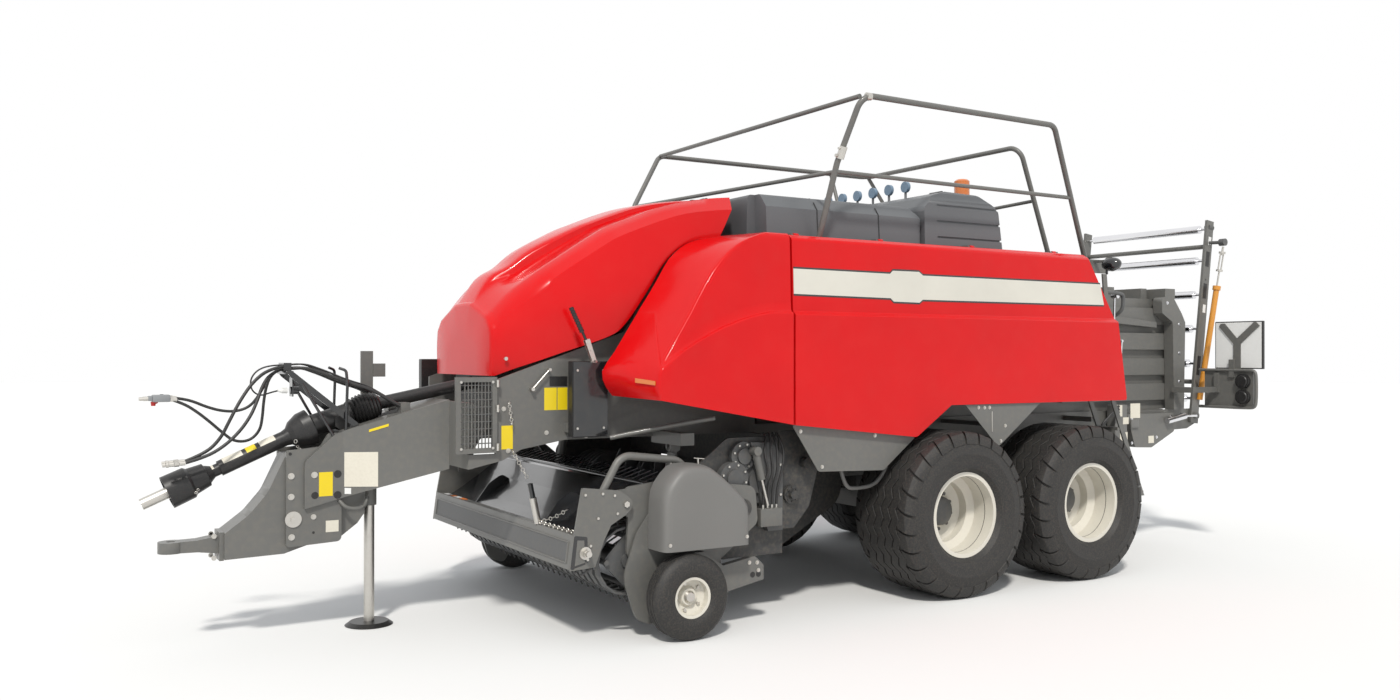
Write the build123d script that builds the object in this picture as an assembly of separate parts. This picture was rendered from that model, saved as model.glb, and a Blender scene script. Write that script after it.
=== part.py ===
# A trailed large square baler, parked on its wheels, its pickup's gauge wheels and its drawbar jack.
# Millimetres. +X is the way it is towed, +Y its left side, +Z up, with Z = 0 on the ground.
# The layout below counts X from the front main axle; MIDDLE_X moves the origin to mid-length.
from build123d import *
from math import cos, hypot, pi, radians, sin, tan
import os

# Driving dimensions
MIDDLE_X = 600
TYRE_R = 596
TYRE_W = 608
RIM_R = 290
TRACK_Y = 1186
AXLE_X = (0, -1330)
AXLE_Z = TYRE_R
BALE_W, BALE_H = 1200, 900
CHAMBER_WALL = 55
CHAMBER_Z = 1300
CHAMBER_REAR = -3350
CHAMBER_FRONT = 1250
FRAME_Y = 640
DOOR_Y = 1320
DOOR_HINGE_Y = 1092
DOOR_HINGE_Z = 2556
SPLIT_X = 1420
DECK_TOP = 2500
GAUGE_R = 262
GAUGE_W = 180
GAUGE_X = 2290
GAUGE_Y = 1400
PIVOT_X = 1750
PIVOT_Z = 740
REEL_X = 2580
REEL_Z = 470
CHUTE_X = -3640
CHUTE_Z = 1175
HITCH_X = 5020
HITCH_Z = 597
JACK_X = 3850
PARTS = {}


# Shapes that the whole machine is drawn with
def block(x0, x1, y0, y1, z0, z1):
    return Solid.make_box(x1 - x0, y1 - y0, z1 - z0, Plane((x0, y0, z0)))


def both(shape):
    """The left-hand shape and its right-hand mirror image."""
    return [shape, shape.mirror(Plane.XZ)]


def face_of(corners, place):
    """Corners are (a, b) or (a, b, corner radius); place turns a and b into a point."""
    points = [Vector(*place(c[0], c[1])) for c in corners]
    radii = [c[2] if len(c) > 2 else 0 for c in corners]
    if any(radii):
        return Face(FilletPolyline(*points, radius=radii, close=True))
    return Face(Wire.make_polygon(points, close=True))


def side_plate(corners, y0, y1):
    """A side view outline of (x, z) corners, with thickness from y0 to y1."""
    return Solid.extrude(face_of(corners, lambda x, z: (x, y0, z)), Vector(0, y1 - y0, 0))


def front_plate(corners, x0, x1):
    """A front view outline of (y, z) corners, with thickness from x0 to x1."""
    return Solid.extrude(face_of(corners, lambda y, z: (x0, y, z)), Vector(x1 - x0, 0, 0))


def plan_plate(corners, z0, z1):
    """A plan outline of (x, y) corners, with thickness from z0 to z1."""
    return Solid.extrude(face_of(corners, lambda x, y: (x, y, z0)), Vector(0, 0, z1 - z0))


def rod(start, end, radius):
    start, end = Vector(*start), Vector(*end)
    run = end - start
    return Solid.make_cylinder(radius, run.length, Plane(origin=start, z_dir=run))


def pipe(points, radius, bend):
    """A round bar along straight runs with bends of one radius."""
    path = FilletPolyline(*[Vector(*p) for p in points], radius=[bend] * (len(points) - 2))
    section = Plane(origin=path @ 0, z_dir=path % 0)
    return Solid.sweep(Wire.make_circle(radius, section), path)


def turned(profile, x, z, y=0):
    """A (radius, y) profile turned about the transverse axis at x, z."""
    section = face_of(profile, lambda r, w: (x, y + w, z + r))
    return Solid.revolve(section, 360, Axis((x, 0, z), (0, 1, 0)))


def fused(*shapes):
    first, *rest = shapes
    return first.fuse(*rest) if rest else first


def add(name, *shapes):
    """One named piece: shapes that touch are fused, and others stay its separate solids."""
    PARTS[name] = fused(*shapes)


def pair(name, shape):
    """A left piece and its mirror image on the right, as the two solids of one node."""
    PARTS[name] = Compound(children=both(shape))


# Main wheels: a hollow low-pressure tyre on a deep-dished rim, with a hub that turns on its stub
def main_tyre(x, y):
    half = TYRE_W / 2
    return turned([
        (RIM_R, -half + 66), (RIM_R + 18, -half + 65), (RIM_R + 45, -half + 24), (430, -half, 90),
        (540, -half + 22, 60), (TYRE_R - 14, -half + 62, 20), (TYRE_R, -150), (TYRE_R, 150),
        (TYRE_R - 14, half - 62, 20), (540, half - 22, 60), (430, half, 90),
        (RIM_R + 45, half - 24), (RIM_R + 18, half - 65), (RIM_R, half - 66), (RIM_R, half - 100),
        (RIM_R + 45, half - 60), (430, half - 34, 60), (520, half - 60, 40), (TYRE_R - 50, 150),
        (TYRE_R - 50, -150), (520, -half + 60, 40), (430, -half + 34, 60),
        (RIM_R + 45, -half + 60), (RIM_R, -half + 100)], x, AXLE_Z, y)


def main_rim(x, y, out):
    """out is +1 for a left wheel, whose dish opens towards +Y."""
    flange, seat, well = RIM_R + 16, RIM_R - 12, 225
    profile = [
        (seat, -252), (flange, -252), (flange, -241), (RIM_R - 0.4, -240), (RIM_R - 0.4, 240),
        (flange, 241),
        (flange, 252), (seat, 252), (seat, 60), (well, 30), (well, -40), (150, -70), (112, -60),
        (100, 10), (70, 22), (0.01, 22), (0.01, 0), (46, 0), (46, -140), (104, -140), (118, -96),
        (150, -92), (well + 14, -58), (well + 14, 10), (seat, -20)]
    return turned([(r, w * out) for r, w in profile], x, AXLE_Z, y)


for row, x in zip(("front", "rear"), AXLE_X):
    for side, out in (("left", 1), ("right", -1)):
        PARTS[f"tyre_{row}_{side}"] = main_tyre(x, out * TRACK_Y)
        PARTS[f"rim_{row}_{side}"] = main_rim(x, out * TRACK_Y, out)

# Running gear: square axles under walking beams, which hang from the frame on brackets
AXLE_HALF = 65
BEAM_Y = (575, 695)
PIVOT_PIN = (sum(AXLE_X) / 2, 780)
axles = []
for x in AXLE_X:
    bar = block(x - AXLE_HALF, x + AXLE_HALF, -1030, 1030, AXLE_Z - AXLE_HALF, AXLE_Z + AXLE_HALF)
    stubs = both(rod((x, 1025, AXLE_Z), (x, TRACK_Y - 12, AXLE_Z), 45))
    drums = both(turned([(0.01, 0), (170, 0), (170, 90), (0.01, 90)], x, AXLE_Z, 880))
    axles.append(fused(bar, *stubs, *drums))
PARTS["axles"] = Compound(children=axles)
pin = both(rod((PIVOT_PIN[0], 540, PIVOT_PIN[1]), (PIVOT_PIN[0], 730, PIVOT_PIN[1]), 34))
top = AXLE_Z + AXLE_HALF
walking = side_plate([
    (100, top), (100, top + 70, 30), (PIVOT_PIN[0] + 130, 840, 60), (PIVOT_PIN[0] - 130, 840, 60),
    (AXLE_X[1] - 100, top + 70, 30), (AXLE_X[1] - 100, top)], *BEAM_Y)
pair("walking_beams", walking - pin[0])

# Main frame: two deep side beams with cross members and the walking beams' brackets
RAIL_Z = (960, CHAMBER_Z - CHAMBER_WALL)
rails = both(block(-3250, 1290, 560, 660, *RAIL_Z))
crossers = [block(x, x + 90, -560, 560, 960, 1060) for x in (-3120, -2000, -300)]
hangers = []
for y in (540, 700):
    hangers += both(side_plate([
        (PIVOT_PIN[0] - 190, 961), (PIVOT_PIN[0] - 60, 720, 40), (PIVOT_PIN[0] + 60, 720, 40),
        (PIVOT_PIN[0] + 190, 961)], y, y + 30))
hanger_feet = both(block(PIVOT_PIN[0] - 190, PIVOT_PIN[0] + 190, 655, 730, 960, 1000))
floor = block(CHAMBER_REAR, CHAMBER_FRONT, -600, 600, CHAMBER_Z - CHAMBER_WALL, CHAMBER_Z)
add("main_frame", floor, *rails, *crossers, *hangers, *hanger_feet, *pin)

# Front frame: side walls that run up under the hood, and the cross wall that the drawbar meets
WALL_Y = (FRAME_Y, FRAME_Y + 20)
wall = side_plate([
    (3420, 1030), (3420, 1120), (3245, 1120), (3245, 1580), (2335, 1895), (2010, 2420), (1290, 2420),
    (1290, 1190), (2772, 1190, 60), (3073, 1140, 80), (3200, 1075, 40)], *WALL_Y)
cross_wall = block(3380, 3420, -FRAME_Y, FRAME_Y, 1030, 1440)
cross_rear = block(1290, 1330, -FRAME_Y, FRAME_Y, 1190, 2420)
cage = block(3245, 3510, 662, 690, 1130, 1600) - block(3275, 3480, 660, 695, 1160, 1570)
cage_feet = [block(3380, 3420, 630, 664, z, z + 50) for z in (1150, 1380)]
cage_bars = [rod((x, 676, 1150), (x, 676, 1580), 4) for x in range(3296, 3470, 22)]
add("front_frame", *both(wall), cross_wall, cross_rear, cage, *cage_bars, *cage_feet)

# Drawbar: a tapering box with two ears that hold the hitch head
SLEEVE_R = 46
beam_side = side_plate([(3420, 1005), (3420, 1450), (4060, 1262), (4060, 848)], -320, 320)
beam_plan = plan_plate([(3420, -305), (3420, 305), (4060, 172), (4060, -172)], 700, 1600)
ears = both(side_plate([
    (4050, 849), (4050, 1262), (4110, 1240, 40), (4290, 1080, 60), (4290, 790)], 150, 172))
gussets = both(side_plate([(4060, 590), (4060, 860), (3900, 900), (3905, 735), (3950, 672)], 85, 97))
PARTS["drawbar"] = fused(beam_side & beam_plan, *ears, *gussets)

# Hitch head: cheek plates and a swan neck down to the flange, then the bolted eye
cheeks = both(side_plate([
    (4062, 575, 30), (4062, 1250), (4139, 1250, 20), (4190, 1168, 30), (4394, 1150, 12), (4394, 560, 20)],
    118, 148))
neck = side_plate([
    (4070, 620), (4400, 520), (4740, 512), (4740, 668), (4600, 775, 200), (4495, 900, 200),
    (4388, 1130), (4070, 1130)], -118, 118)
PARTS["hitch_head"] = fused(neck, *cheeks)
flange = block(4740, 4765, -95, 95, 505, 675)
shank = side_plate([(4765, 545), (4765, 650), (4880, 632), (5020, 629), (5020, 565), (4880, 562)], -55, 55)
eye = Solid.make_cylinder(72, 66, Plane((HITCH_X, 0, HITCH_Z - 33)))
eye_bore = Solid.make_cylinder(26, 200, Plane((HITCH_X, 0, HITCH_Z - 100)))
PARTS["hitch_eye"] = fused(flange, shank, eye) - eye_bore

# Parking jack: a sleeve through the drawbar and a leg that slides in it on a round foot
LEG_R = 33
leg_bore = rod((JACK_X, 0, 700), (JACK_X, 0, 1258), LEG_R + 0.1)
sleeve = rod((JACK_X, 0, 770), (JACK_X, 0, 1268), SLEEVE_R)
PARTS["drawbar"] = fused(PARTS["drawbar"], sleeve) - leg_bore
leg = rod((JACK_X, 0, 15), (JACK_X, 0, 900), LEG_R)
foot = Solid.make_cone(150, 120, 22, Plane((JACK_X, 0, 0)))
add("jack_leg", leg, foot)

# Bale channel: floor, roof and two ribbed sides around the space that the bale moves through
ROOF_Z = CHAMBER_Z + BALE_H
HALF_BALE = BALE_W / 2
roof = block(CHAMBER_REAR, CHAMBER_FRONT, -HALF_BALE, HALF_BALE, ROOF_Z, ROOF_Z + CHAMBER_WALL)
roof_ribs = [block(x, x + 80, -HALF_BALE, HALF_BALE, ROOF_Z + 50, ROOF_Z + 150)
             for x in (-3100, -2650, -2200)]
add("channel_roof", roof, *roof_ribs)
side_wall = block(CHAMBER_REAR, CHAMBER_FRONT, HALF_BALE, HALF_BALE + 20, CHAMBER_Z - CHAMBER_WALL,
    ROOF_Z + 55)
RIB_Z = (1330, 1560, 1790, 2020)
ribs = [side_plate([(CHAMBER_REAR + 20, z), (CHAMBER_REAR + 20, z + 150), (-1900, z + 150), (-1900, z)],
                   HALF_BALE + 18, HALF_BALE + 60) for z in RIB_Z]
pair("channel_sides", fused(side_wall, *ribs))

# Plunger: the plain heavy block that packs the bale
PARTS["plunger"] = block(700, 1150, -580, 580, CHAMBER_Z + 20, ROOF_Z - 20)

# Main gearbox: the plain heavy block that the driveline ends in, with its flywheel ahead of it
gear_case = block(1900, 2500, -260, 260, 1300, 1900)
FLY_Z = 1550
flywheel = rod((3010, 0, FLY_Z), (3140, 0, FLY_Z), 380)
add("main_gearbox", gear_case, flywheel, rod((2490, 0, FLY_Z), (3020, 0, FLY_Z), 55))

# Feeder: side plates, rotor and the duct that lifts the crop into the bale channel
duct = side_plate([
    (1345, 330), (1000, 330, 200), (430, 640, 200), (400, 1243), (1250, 1243), (1345, 760)], -555, 555)
PARTS["feed_duct"] = duct
FEED_SIDE_Y = (1060, 1082)
feed_side = side_plate([
    (1350, 395), (1350, 1190), (1800, 1190, 80), (2050, 1000, 80), (2080, 700, 60), (1960, 395, 60)],
    *FEED_SIDE_Y)
feed_tray = side_plate([(1350, 395), (1350, 420), (1900, 420), (1900, 395)], -1082, 1082)
feed_back = block(1350, 1380, -1060, 1060, 950, 1190)
trunnions = both(rod((PIVOT_X, 1070, PIVOT_Z), (PIVOT_X, 1216, PIVOT_Z), 60))
add("feeder_housing", *both(feed_side), feed_tray, feed_back, *trunnions)

ROTOR_R = 265
hub_tube = rod((PIVOT_X, -1040, PIVOT_Z), (PIVOT_X, 1040, PIVOT_Z), 95)
stars = []
for count in range(13):
    y = -540 + 90 * count
    turn = radians(24 * (count % 5))
    tips = []
    for arm in range(4):
        angle = turn + arm * pi / 2
        tips.append((PIVOT_X + ROTOR_R * cos(angle), PIVOT_Z + ROTOR_R * sin(angle)))
        tips.append((PIVOT_X + 120 * cos(angle + 0.45), PIVOT_Z + 120 * sin(angle + 0.45)))
    stars.append(side_plate(tips, y - 6, y + 6))
augers = []
for count in range(6):
    y = 640 + 64 * count
    augers += both(turned([(90, -4), (ROTOR_R - 30, 14), (ROTOR_R - 30, 22), (90, 4)], PIVOT_X, PIVOT_Z, y))
add("feed_rotor", hub_tube, *stars, *augers)

# Pickup frame: end plates on the trunnions, cross tubes, dividers and the gauge wheels' arms
END_Y = (1190, 1212)
end_plate = side_plate([
    (1640, 640, 60), (1660, 880, 70), (2300, 960, 60), (2600, 930, 40), (2690, 840, 30), (2600, 740),
    (2610, 520, 60), (2440, 330, 60), (2060, 330, 60)], *END_Y)
end_plate = end_plate - rod((PIVOT_X, 1100, PIVOT_Z), (PIVOT_X, 1300, PIVOT_Z), 60.5)
divider = side_plate([
    (1945, 395), (1945, 545), (2160, 560), (2250, 900, 60), (2440, 800, 60), (2560, 640, 160),
    (2650, 380, 200), (2560, 110, 120), (2440, 75, 40), (2330, 240, 60)], 1228, 1242)
spacers = [block(2300, 2420, 1207, 1233, 560, 700), block(2100, 2180, 1207, 1233, 400, 480)]
cross_tube = rod((2250, -1195, 640), (2250, 1195, 640), 45)
gauge_arm = side_plate([
    (2380, 200, 40), (2380, 340, 50), (2200, 500), (2100, 500), (1960, 400), (1716, 438, 12),
    (1649, 377, 12), (1649, 282), (1894, 237), (2120, 200)], 1242, 1292)
gauge_stub = rod((GAUGE_X, 1280, GAUGE_R), (GAUGE_X, 1390, GAUGE_R), 20)
hoop = pipe([(2795, 1205, 870), (2648, 1205, 1126), (2237, 1205, 1077), (2040, 1205, 800)], 24, 110)
hoop_foot = block(2000, 2080, 1180, 1230, 780, 860)
hoop_horn = side_plate([(2590, 800), (2590, 920), (2830, 900, 20), (2830, 820, 20)], 1192, 1212)
add("pickup_frame", *both(end_plate), *both(divider), *both(fused(*spacers)), cross_tube,
    *both(gauge_arm), *both(gauge_stub), *both(hoop), *both(hoop_foot), *both(hoop_horn))

# Pickup drive shields: moulded covers outside the dividers, open underneath
shield_out = side_plate([
    (1850, 548), (1850, 830, 70), (2150, 1065, 110), (2330, 1065, 110), (2470, 930, 90), (2480, 548)],
    1244, 1452)
shield_in = side_plate([
    (1865, 540), (1865, 822, 60), (2156, 1050, 100), (2324, 1050, 100), (2455, 924, 80), (2465, 540)],
    1240, 1437)
pair("pickup_shields", shield_out - shield_in)

# Gauge wheels
def gauge_tyre(y):
    half = GAUGE_W / 2
    return turned([
        (122, -half + 22), (150, -half, 20), (225, -half + 6, 30), (GAUGE_R, -half + 42, 20),
        (GAUGE_R, half - 42, 20), (225, half - 6, 30), (150, half, 20), (122, half - 22)], GAUGE_X,
        GAUGE_R, y)


def gauge_rim(y, out):
    profile = [
        (110, -70), (134, -70), (134, -67), (122, -66), (122, 66), (134, 67), (134, 70), (110, 70),
        (110, 10), (60, -5), (42, 20), (30, 30), (0.01, 30), (0.01, 0), (21, 0), (21, -60), (40, -60),
        (50, -20), (110, -6)]
    return turned([(r, w * out) for r, w in profile], GAUGE_X, GAUGE_R, y)


for side, out in (("left", 1), ("right", -1)):
    add(f"gauge_wheel_{side}", gauge_tyre(out * GAUGE_Y), gauge_rim(out * GAUGE_Y, out))

# Pickup reel: tine bars on spiders, with tines that pass between the stripper bands
REEL_HALF = 1180
BAR_R = 150
TIP_R = 300
PITCH = 92
GAPS = 25
reel_tube = rod((REEL_X, -REEL_HALF, REEL_Z), (REEL_X, REEL_HALF, REEL_Z), 45)
pieces = [reel_tube]
for y in (-1150, -598, -46, 506, 1150):
    pieces.append(side_plate([
        (REEL_X + (BAR_R + 25) * cos(a), REEL_Z + (BAR_R + 25) * sin(a))
        for a in (0.0, pi / 2, pi, 1.5 * pi)], y - 6, y + 6))
for quarter in range(4):
    a = quarter * pi / 2
    cx, cz = REEL_X + BAR_R * cos(a), REEL_Z + BAR_R * sin(a)
    pieces.append(rod((cx, -REEL_HALF, cz), (cx, REEL_HALF, cz), 17))
    tip = (REEL_X + TIP_R * cos(a - 0.25), REEL_Z + TIP_R * sin(a - 0.25))
    for gap in range(GAPS):
        y = (gap - (GAPS - 1) / 2) * PITCH
        edge = Vector(cx - tip[0], 0, cz - tip[1]).cross(Vector(0, 1, 0)).normalized() * 5
        pieces.append(side_plate([
            (cx + edge.X, cz + edge.Z), (cx - edge.X, cz - edge.Z),
            (tip[0] - edge.X, tip[1] - edge.Z), (tip[0] + edge.X, tip[1] + edge.Z)], y - 5, y + 5))
add("pickup_reel", *pieces)

# Stripper bands: hoops between the tines, all on one rear bar
BAND_R = 215
BAND_FACETS = 9
bands = [block(2200, 2275, -1185, 1185, 685, 697)]
for band in range(GAPS + 1):
    y = (band - GAPS / 2) * PITCH
    outer = [(2215, 711)]
    inner = [(2215, 697)]
    for step in range(BAND_FACETS + 1):
        a = radians(90 - 200 * step / BAND_FACETS)
        outer.append((REEL_X + BAND_R * cos(a), REEL_Z + BAND_R * sin(a)))
        inner.append((REEL_X + (BAND_R - 14) * cos(a), REEL_Z + (BAND_R - 14) * sin(a)))
    bands.append(side_plate(outer + inner[::-1], y - 26, y + 26))
add("stripper_bands", *bands)

# Wind guard: open front beam, end plates and the formed sheet that holds the crop down
GUARD_PIVOT = (2640, 832)
guard_beam = side_plate([
    (2895, 500), (2900, 655, 12), (2985, 668, 12), (3012, 466, 12), (2985, 470), (2965, 640), (2920, 636),
    (2915, 508)], -1262, 1262)
guard_floor = side_plate([(2912, 492), (2912, 504), (3002, 484), (3004, 470)], -1262, 1262)
guard_sheet = side_plate([
    (2905, 640), (2905, 652), (2812, 704), (2640, 816), (2500, 925), (2440, 940), (2440, 928), (2494, 913),
    (2634, 804), (2806, 691)], -1180, 1180)
guard_rail = rod((2446, -1180, 935), (2446, 1180, 935), 16)
guard_plate = side_plate([
    (3012, 462, 20), (2985, 668), (2931, 945, 30), (2690, 918, 40), (2597, 850, 30), (2620, 780, 30),
    (2760, 700, 60), (2850, 470, 40)], 1248, 1260)
guard_plate = guard_plate - rod((GUARD_PIVOT[0], 1200, GUARD_PIVOT[1]),
    (GUARD_PIVOT[0], 1300, GUARD_PIVOT[1]), 14.05)
guard_ribs = [side_plate([(2900, 643), (2905, 652), (2800, 790, 40), (2700, 850, 40), (2640, 814),
    (2810, 700)], y, y + 8)
              for y in (-620, 612)]
strut = rod((2973, 700, 664), (3030, 700, 925), 17)
tines = [rod((2446, -1080 + 90 * n, 930), (2270, -1080 + 90 * n, 985), 5) for n in range(25)]
add("wind_guard", guard_beam, guard_floor, guard_sheet, guard_rail, *both(guard_plate), *guard_ribs, strut,
    *tines)
guard_pins = both(rod((GUARD_PIVOT[0], 1200, GUARD_PIVOT[1]), (GUARD_PIVOT[0], 1268, GUARD_PIVOT[1]), 14))
PARTS["pickup_frame"] = fused(PARTS["pickup_frame"], *guard_pins)

# Pickup lift cylinders: barrel under the front frame's outrigger, rod down to the pickup's cross tube
LIFT_Y = 860
LIFT_TOP = (2080, 1110)
LIFT_END = (2165, 640)
LIFT_RUN = hypot(LIFT_END[0] - LIFT_TOP[0], LIFT_END[1] - LIFT_TOP[1])
PIN_R = 16
LIFT_ROD_R = 20


def on_lift(distance):
    share = distance / LIFT_RUN
    return (LIFT_TOP[0] + (LIFT_END[0] - LIFT_TOP[0]) * share, LIFT_Y,
            LIFT_TOP[1] + (LIFT_END[1] - LIFT_TOP[1]) * share)


def eye_at(distance):
    x, y, z = on_lift(distance)
    return rod((x, y - 15, z), (x, y + 15, z), 30)


def pin_hole(distance, radius):
    x, y, z = on_lift(distance)
    return rod((x, y - 20, z), (x, y + 20, z), radius)


barrel = fused(eye_at(0), rod(on_lift(20), on_lift(300), 34)) - rod(on_lift(45), on_lift(305),
    LIFT_ROD_R + 0.1)
barrel = barrel - pin_hole(0, PIN_R + 0.05)
lift_rod = fused(eye_at(LIFT_RUN), rod(on_lift(200), on_lift(LIFT_RUN - 20), LIFT_ROD_R))
lift_rod = lift_rod - pin_hole(LIFT_RUN, PIN_R + 2.5)
pair("lift_barrels", barrel)
pair("lift_rods", lift_rod)


def pin_lugs(point, lug, foot):
    """Two ears either side of an eye, with their pin; lug is their side view."""
    x, z = point
    ears = [side_plate(lug, LIFT_Y + y, LIFT_Y + y + 12) for y in (-33, 21)]
    pin = rod((x, LIFT_Y - 36, z), (x, LIFT_Y + 36, z), PIN_R)
    return fused(*ears, pin, foot)


OUTRIGGER = (2030, 2130, 1150, 1230)
outrigger = block(OUTRIGGER[0], OUTRIGGER[1], 655, 1050, OUTRIGGER[2], OUTRIGGER[3])
x, z = LIFT_TOP
lift_ears = pin_lugs(LIFT_TOP, [(x - 40, z + 60), (x - 34, z - 10, 20), (x + 34, z - 10, 20),
    (x + 40, z + 60)],
                     outrigger)
PARTS["front_frame"] = fused(PARTS["front_frame"], *both(lift_ears))
x, z = LIFT_END
arm_ears = pin_lugs(LIFT_END, [(x - 26, z + 26, 20), (2240, z + 40), (2240, z - 40), (x - 26, z - 26, 20)],
                    block(2213, 2240, LIFT_Y - 33, LIFT_Y + 33, z - 30, z + 30))
PARTS["pickup_frame"] = fused(PARTS["pickup_frame"], *both(arm_ears))

# Side doors: creased panels hinged along their top edge
DOOR_T = 36
CREASE = [(DOOR_Y, 2005, 10), (DOOR_Y - 30, 2030, 10), (DOOR_Y - 45, 2510, 30)]
door_skin = [
    (DOOR_Y, 1150), *CREASE, (1235, 2540, 20), (1080, 2540), (1080, 2516), (1222, 2516), (1239, 2490),
    (DOOR_Y - 30 - DOOR_T, 2040), (DOOR_Y - DOOR_T, 2000), (DOOR_Y - DOOR_T, 1150)]
door_outline = [
    (SPLIT_X - 8, 1276), (SPLIT_X - 8, DOOR_HINGE_Z + 20), (-1440, DOOR_HINGE_Z + 20), (-1487, 2526, 20),
    (-1800, 2015), (-1907, 1375, 20), (20, 1377), (352, 1158, 60)]
door = front_plate(door_skin, -1950, 1450) & side_plate(door_outline, 900, 1400)
HINGE_AT = (-1300, -400, 500, 1250)
HINGE_PIN_R = 8
hinge_bore = rod((-1900, DOOR_HINGE_Y, DOOR_HINGE_Z), (1900, DOOR_HINGE_Y, DOOR_HINGE_Z),
    HINGE_PIN_R + 0.05)
for x in HINGE_AT:
    knuckle = fused(rod((x - 20, DOOR_HINGE_Y, DOOR_HINGE_Z), (x + 20, DOOR_HINGE_Y, DOOR_HINGE_Z),
        HINGE_PIN_R + 7),
                    block(x - 20, x + 20, DOOR_HINGE_Y - 8, DOOR_HINGE_Y + 14, 2530, DOOR_HINGE_Z))
    door = fused(door, knuckle)
door = door - hinge_bore
for side, shape in zip(("left", "right"), both(door)):
    PARTS[f"door_{side}"] = shape

# Twine boxes behind the doors: shelves with dividers, open towards the doors
BOX_X = (-1350, 1250)
BOX_Y = (720, 1180)
SHELF_Z = (1400, 1740, 2080)
box_parts = [block(*BOX_X, BOX_Y[0], BOX_Y[0] + 15, SHELF_Z[0], 2400)]
box_parts += [block(*BOX_X, BOX_Y[0], BOX_Y[1] - (70 if z > 2000 else 0), z, z + 15) for z in SHELF_Z]
box_parts += [block(x, x + 12, BOX_Y[0], BOX_Y[1] - 84, SHELF_Z[0], 2400) for x in (-1350, 1238)]
pair("twine_boxes", fused(*box_parts))

# Front module covers: fixed hollow panels between the doors and the hood, with a slanting ridge
MODULE_T = 24
module_side = [
    (SPLIT_X + 8, 1280), (SPLIT_X + 8, 2530), (1721, 2518), (1949, 2480, 60), (2027, 2440, 60),
    (2119, 2355, 60),
    (2255, 2140), (2395, 1930), (2540, 1700, 60), (2600, 1600, 40), (2560, 1490, 60), (2400, 1448, 60),
    (2212, 1415), (1915, 1350)]
module_front = [(700, 1200), (DOOR_Y, 1200), *CREASE, (1235, 2547), (700, 2547)]
# Columns: height, x of the ridge, x where the front face meets the hood
MODULE_LEVELS = (
    (1250, 2520, 2700), (1632, 2435, 2600), (1957, 2230, 2385), (2150, 2115, 2256), (2365, 1949, 2119),
    (2445, 1840, 2040), (2500, 1745, 1945), (2600, 1460, 1700))


def moved_in(corners, shift):
    return [(c[0] + shift, c[1] + shift, *c[2:]) for c in corners]


def module_shape(inset):
    rings = []
    for z, ridge, seam in MODULE_LEVELS:
        plan = [(SPLIT_X, 800), (SPLIT_X, DOOR_Y - inset), (ridge - inset, DOOR_Y - inset),
            (seam - inset, 860), (seam - inset, 800)]
        rings.append(Wire.make_polygon([Vector(x, y, z) for x, y in plan], close=True))
    slanted = Solid.make_loft(rings, True)
    inner_y = 860 - 3 * inset
    shape = side_plate(moved_in(module_side, -inset), inner_y, 1400) & slanted
    return shape & front_plate(moved_in(module_front, -inset), 1400, 3200)


pair("front_modules", module_shape(0) - module_shape(MODULE_T))

# Hood: a hollow shell lofted through six sections, open behind and below, with a raised spine
# Columns: x, half width at the bottom, at the shoulder and on top, height of the bottom, shoulder and top
HOOD_SECTIONS = (
    (3202, 535, 530, 450, 1605, 1905, 1985),
    (2957, 642, 648, 540, 1698, 2150, 2262),
    (2508, 760, 755, 620, 1858, 2470, 2568),
    (2330, 800, 790, 660, 1925, 2560, 2645),
    (2030, 850, 840, 720, 2508, 2670, 2762),
    (1510, 880, 872, 760, 2545, 2740, 2838))
HOOD_T = 26
HOOD_BEND = 40


def hood_section(row, inset, drop):
    x, low, shoulder, top, low_z, shoulder_z, top_z = row
    right = [(low - inset, low_z - drop, 0), (shoulder - inset, shoulder_z - inset / 2, HOOD_BEND),
             (top - inset, top_z - inset, HOOD_BEND)]
    ring = right + [(-y, z, bend) for y, z, bend in reversed(right)]
    points = [Vector(x, y, z) for y, z, bend in ring]
    return FilletPolyline(*points, radius=[corner[2] for corner in ring], close=True)


outer = Solid.make_loft([Wire(hood_section(row, 0, 0)) for row in HOOD_SECTIONS], True)
inner_rows = [(HOOD_SECTIONS[0][0] - HOOD_T, *HOOD_SECTIONS[0][1:]), *HOOD_SECTIONS[1:-1],
              (1490, *HOOD_SECTIONS[-1][1:])]
inner = Solid.make_loft([Wire(hood_section(row, HOOD_T, 60)) for row in inner_rows], True)
# Columns: x, half width on top, half width at the foot, height of the top, height of the foot
SPINE_SECTIONS = (
    (2985, 150, 160, 2275, 2215), (2940, 175, 210, 2345, 2255), (2800, 200, 245, 2455, 2365),
    (2508, 250, 300, 2622, 2545), (2031, 310, 370, 2800, 2735), (1510, 350, 410, 2864, 2812))
spine_rings = []
for x, top, foot, top_z, foot_z in SPINE_SECTIONS:
    ring = [(foot, foot_z), (top, top_z), (-top, top_z), (-foot, foot_z)]
    spine_rings.append(Wire.make_polygon([Vector(x, y, z) for y, z in ring], close=True))
spine = Solid.make_loft(spine_rings, True)
PARTS["hood"] = fused(outer, spine) - inner

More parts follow.
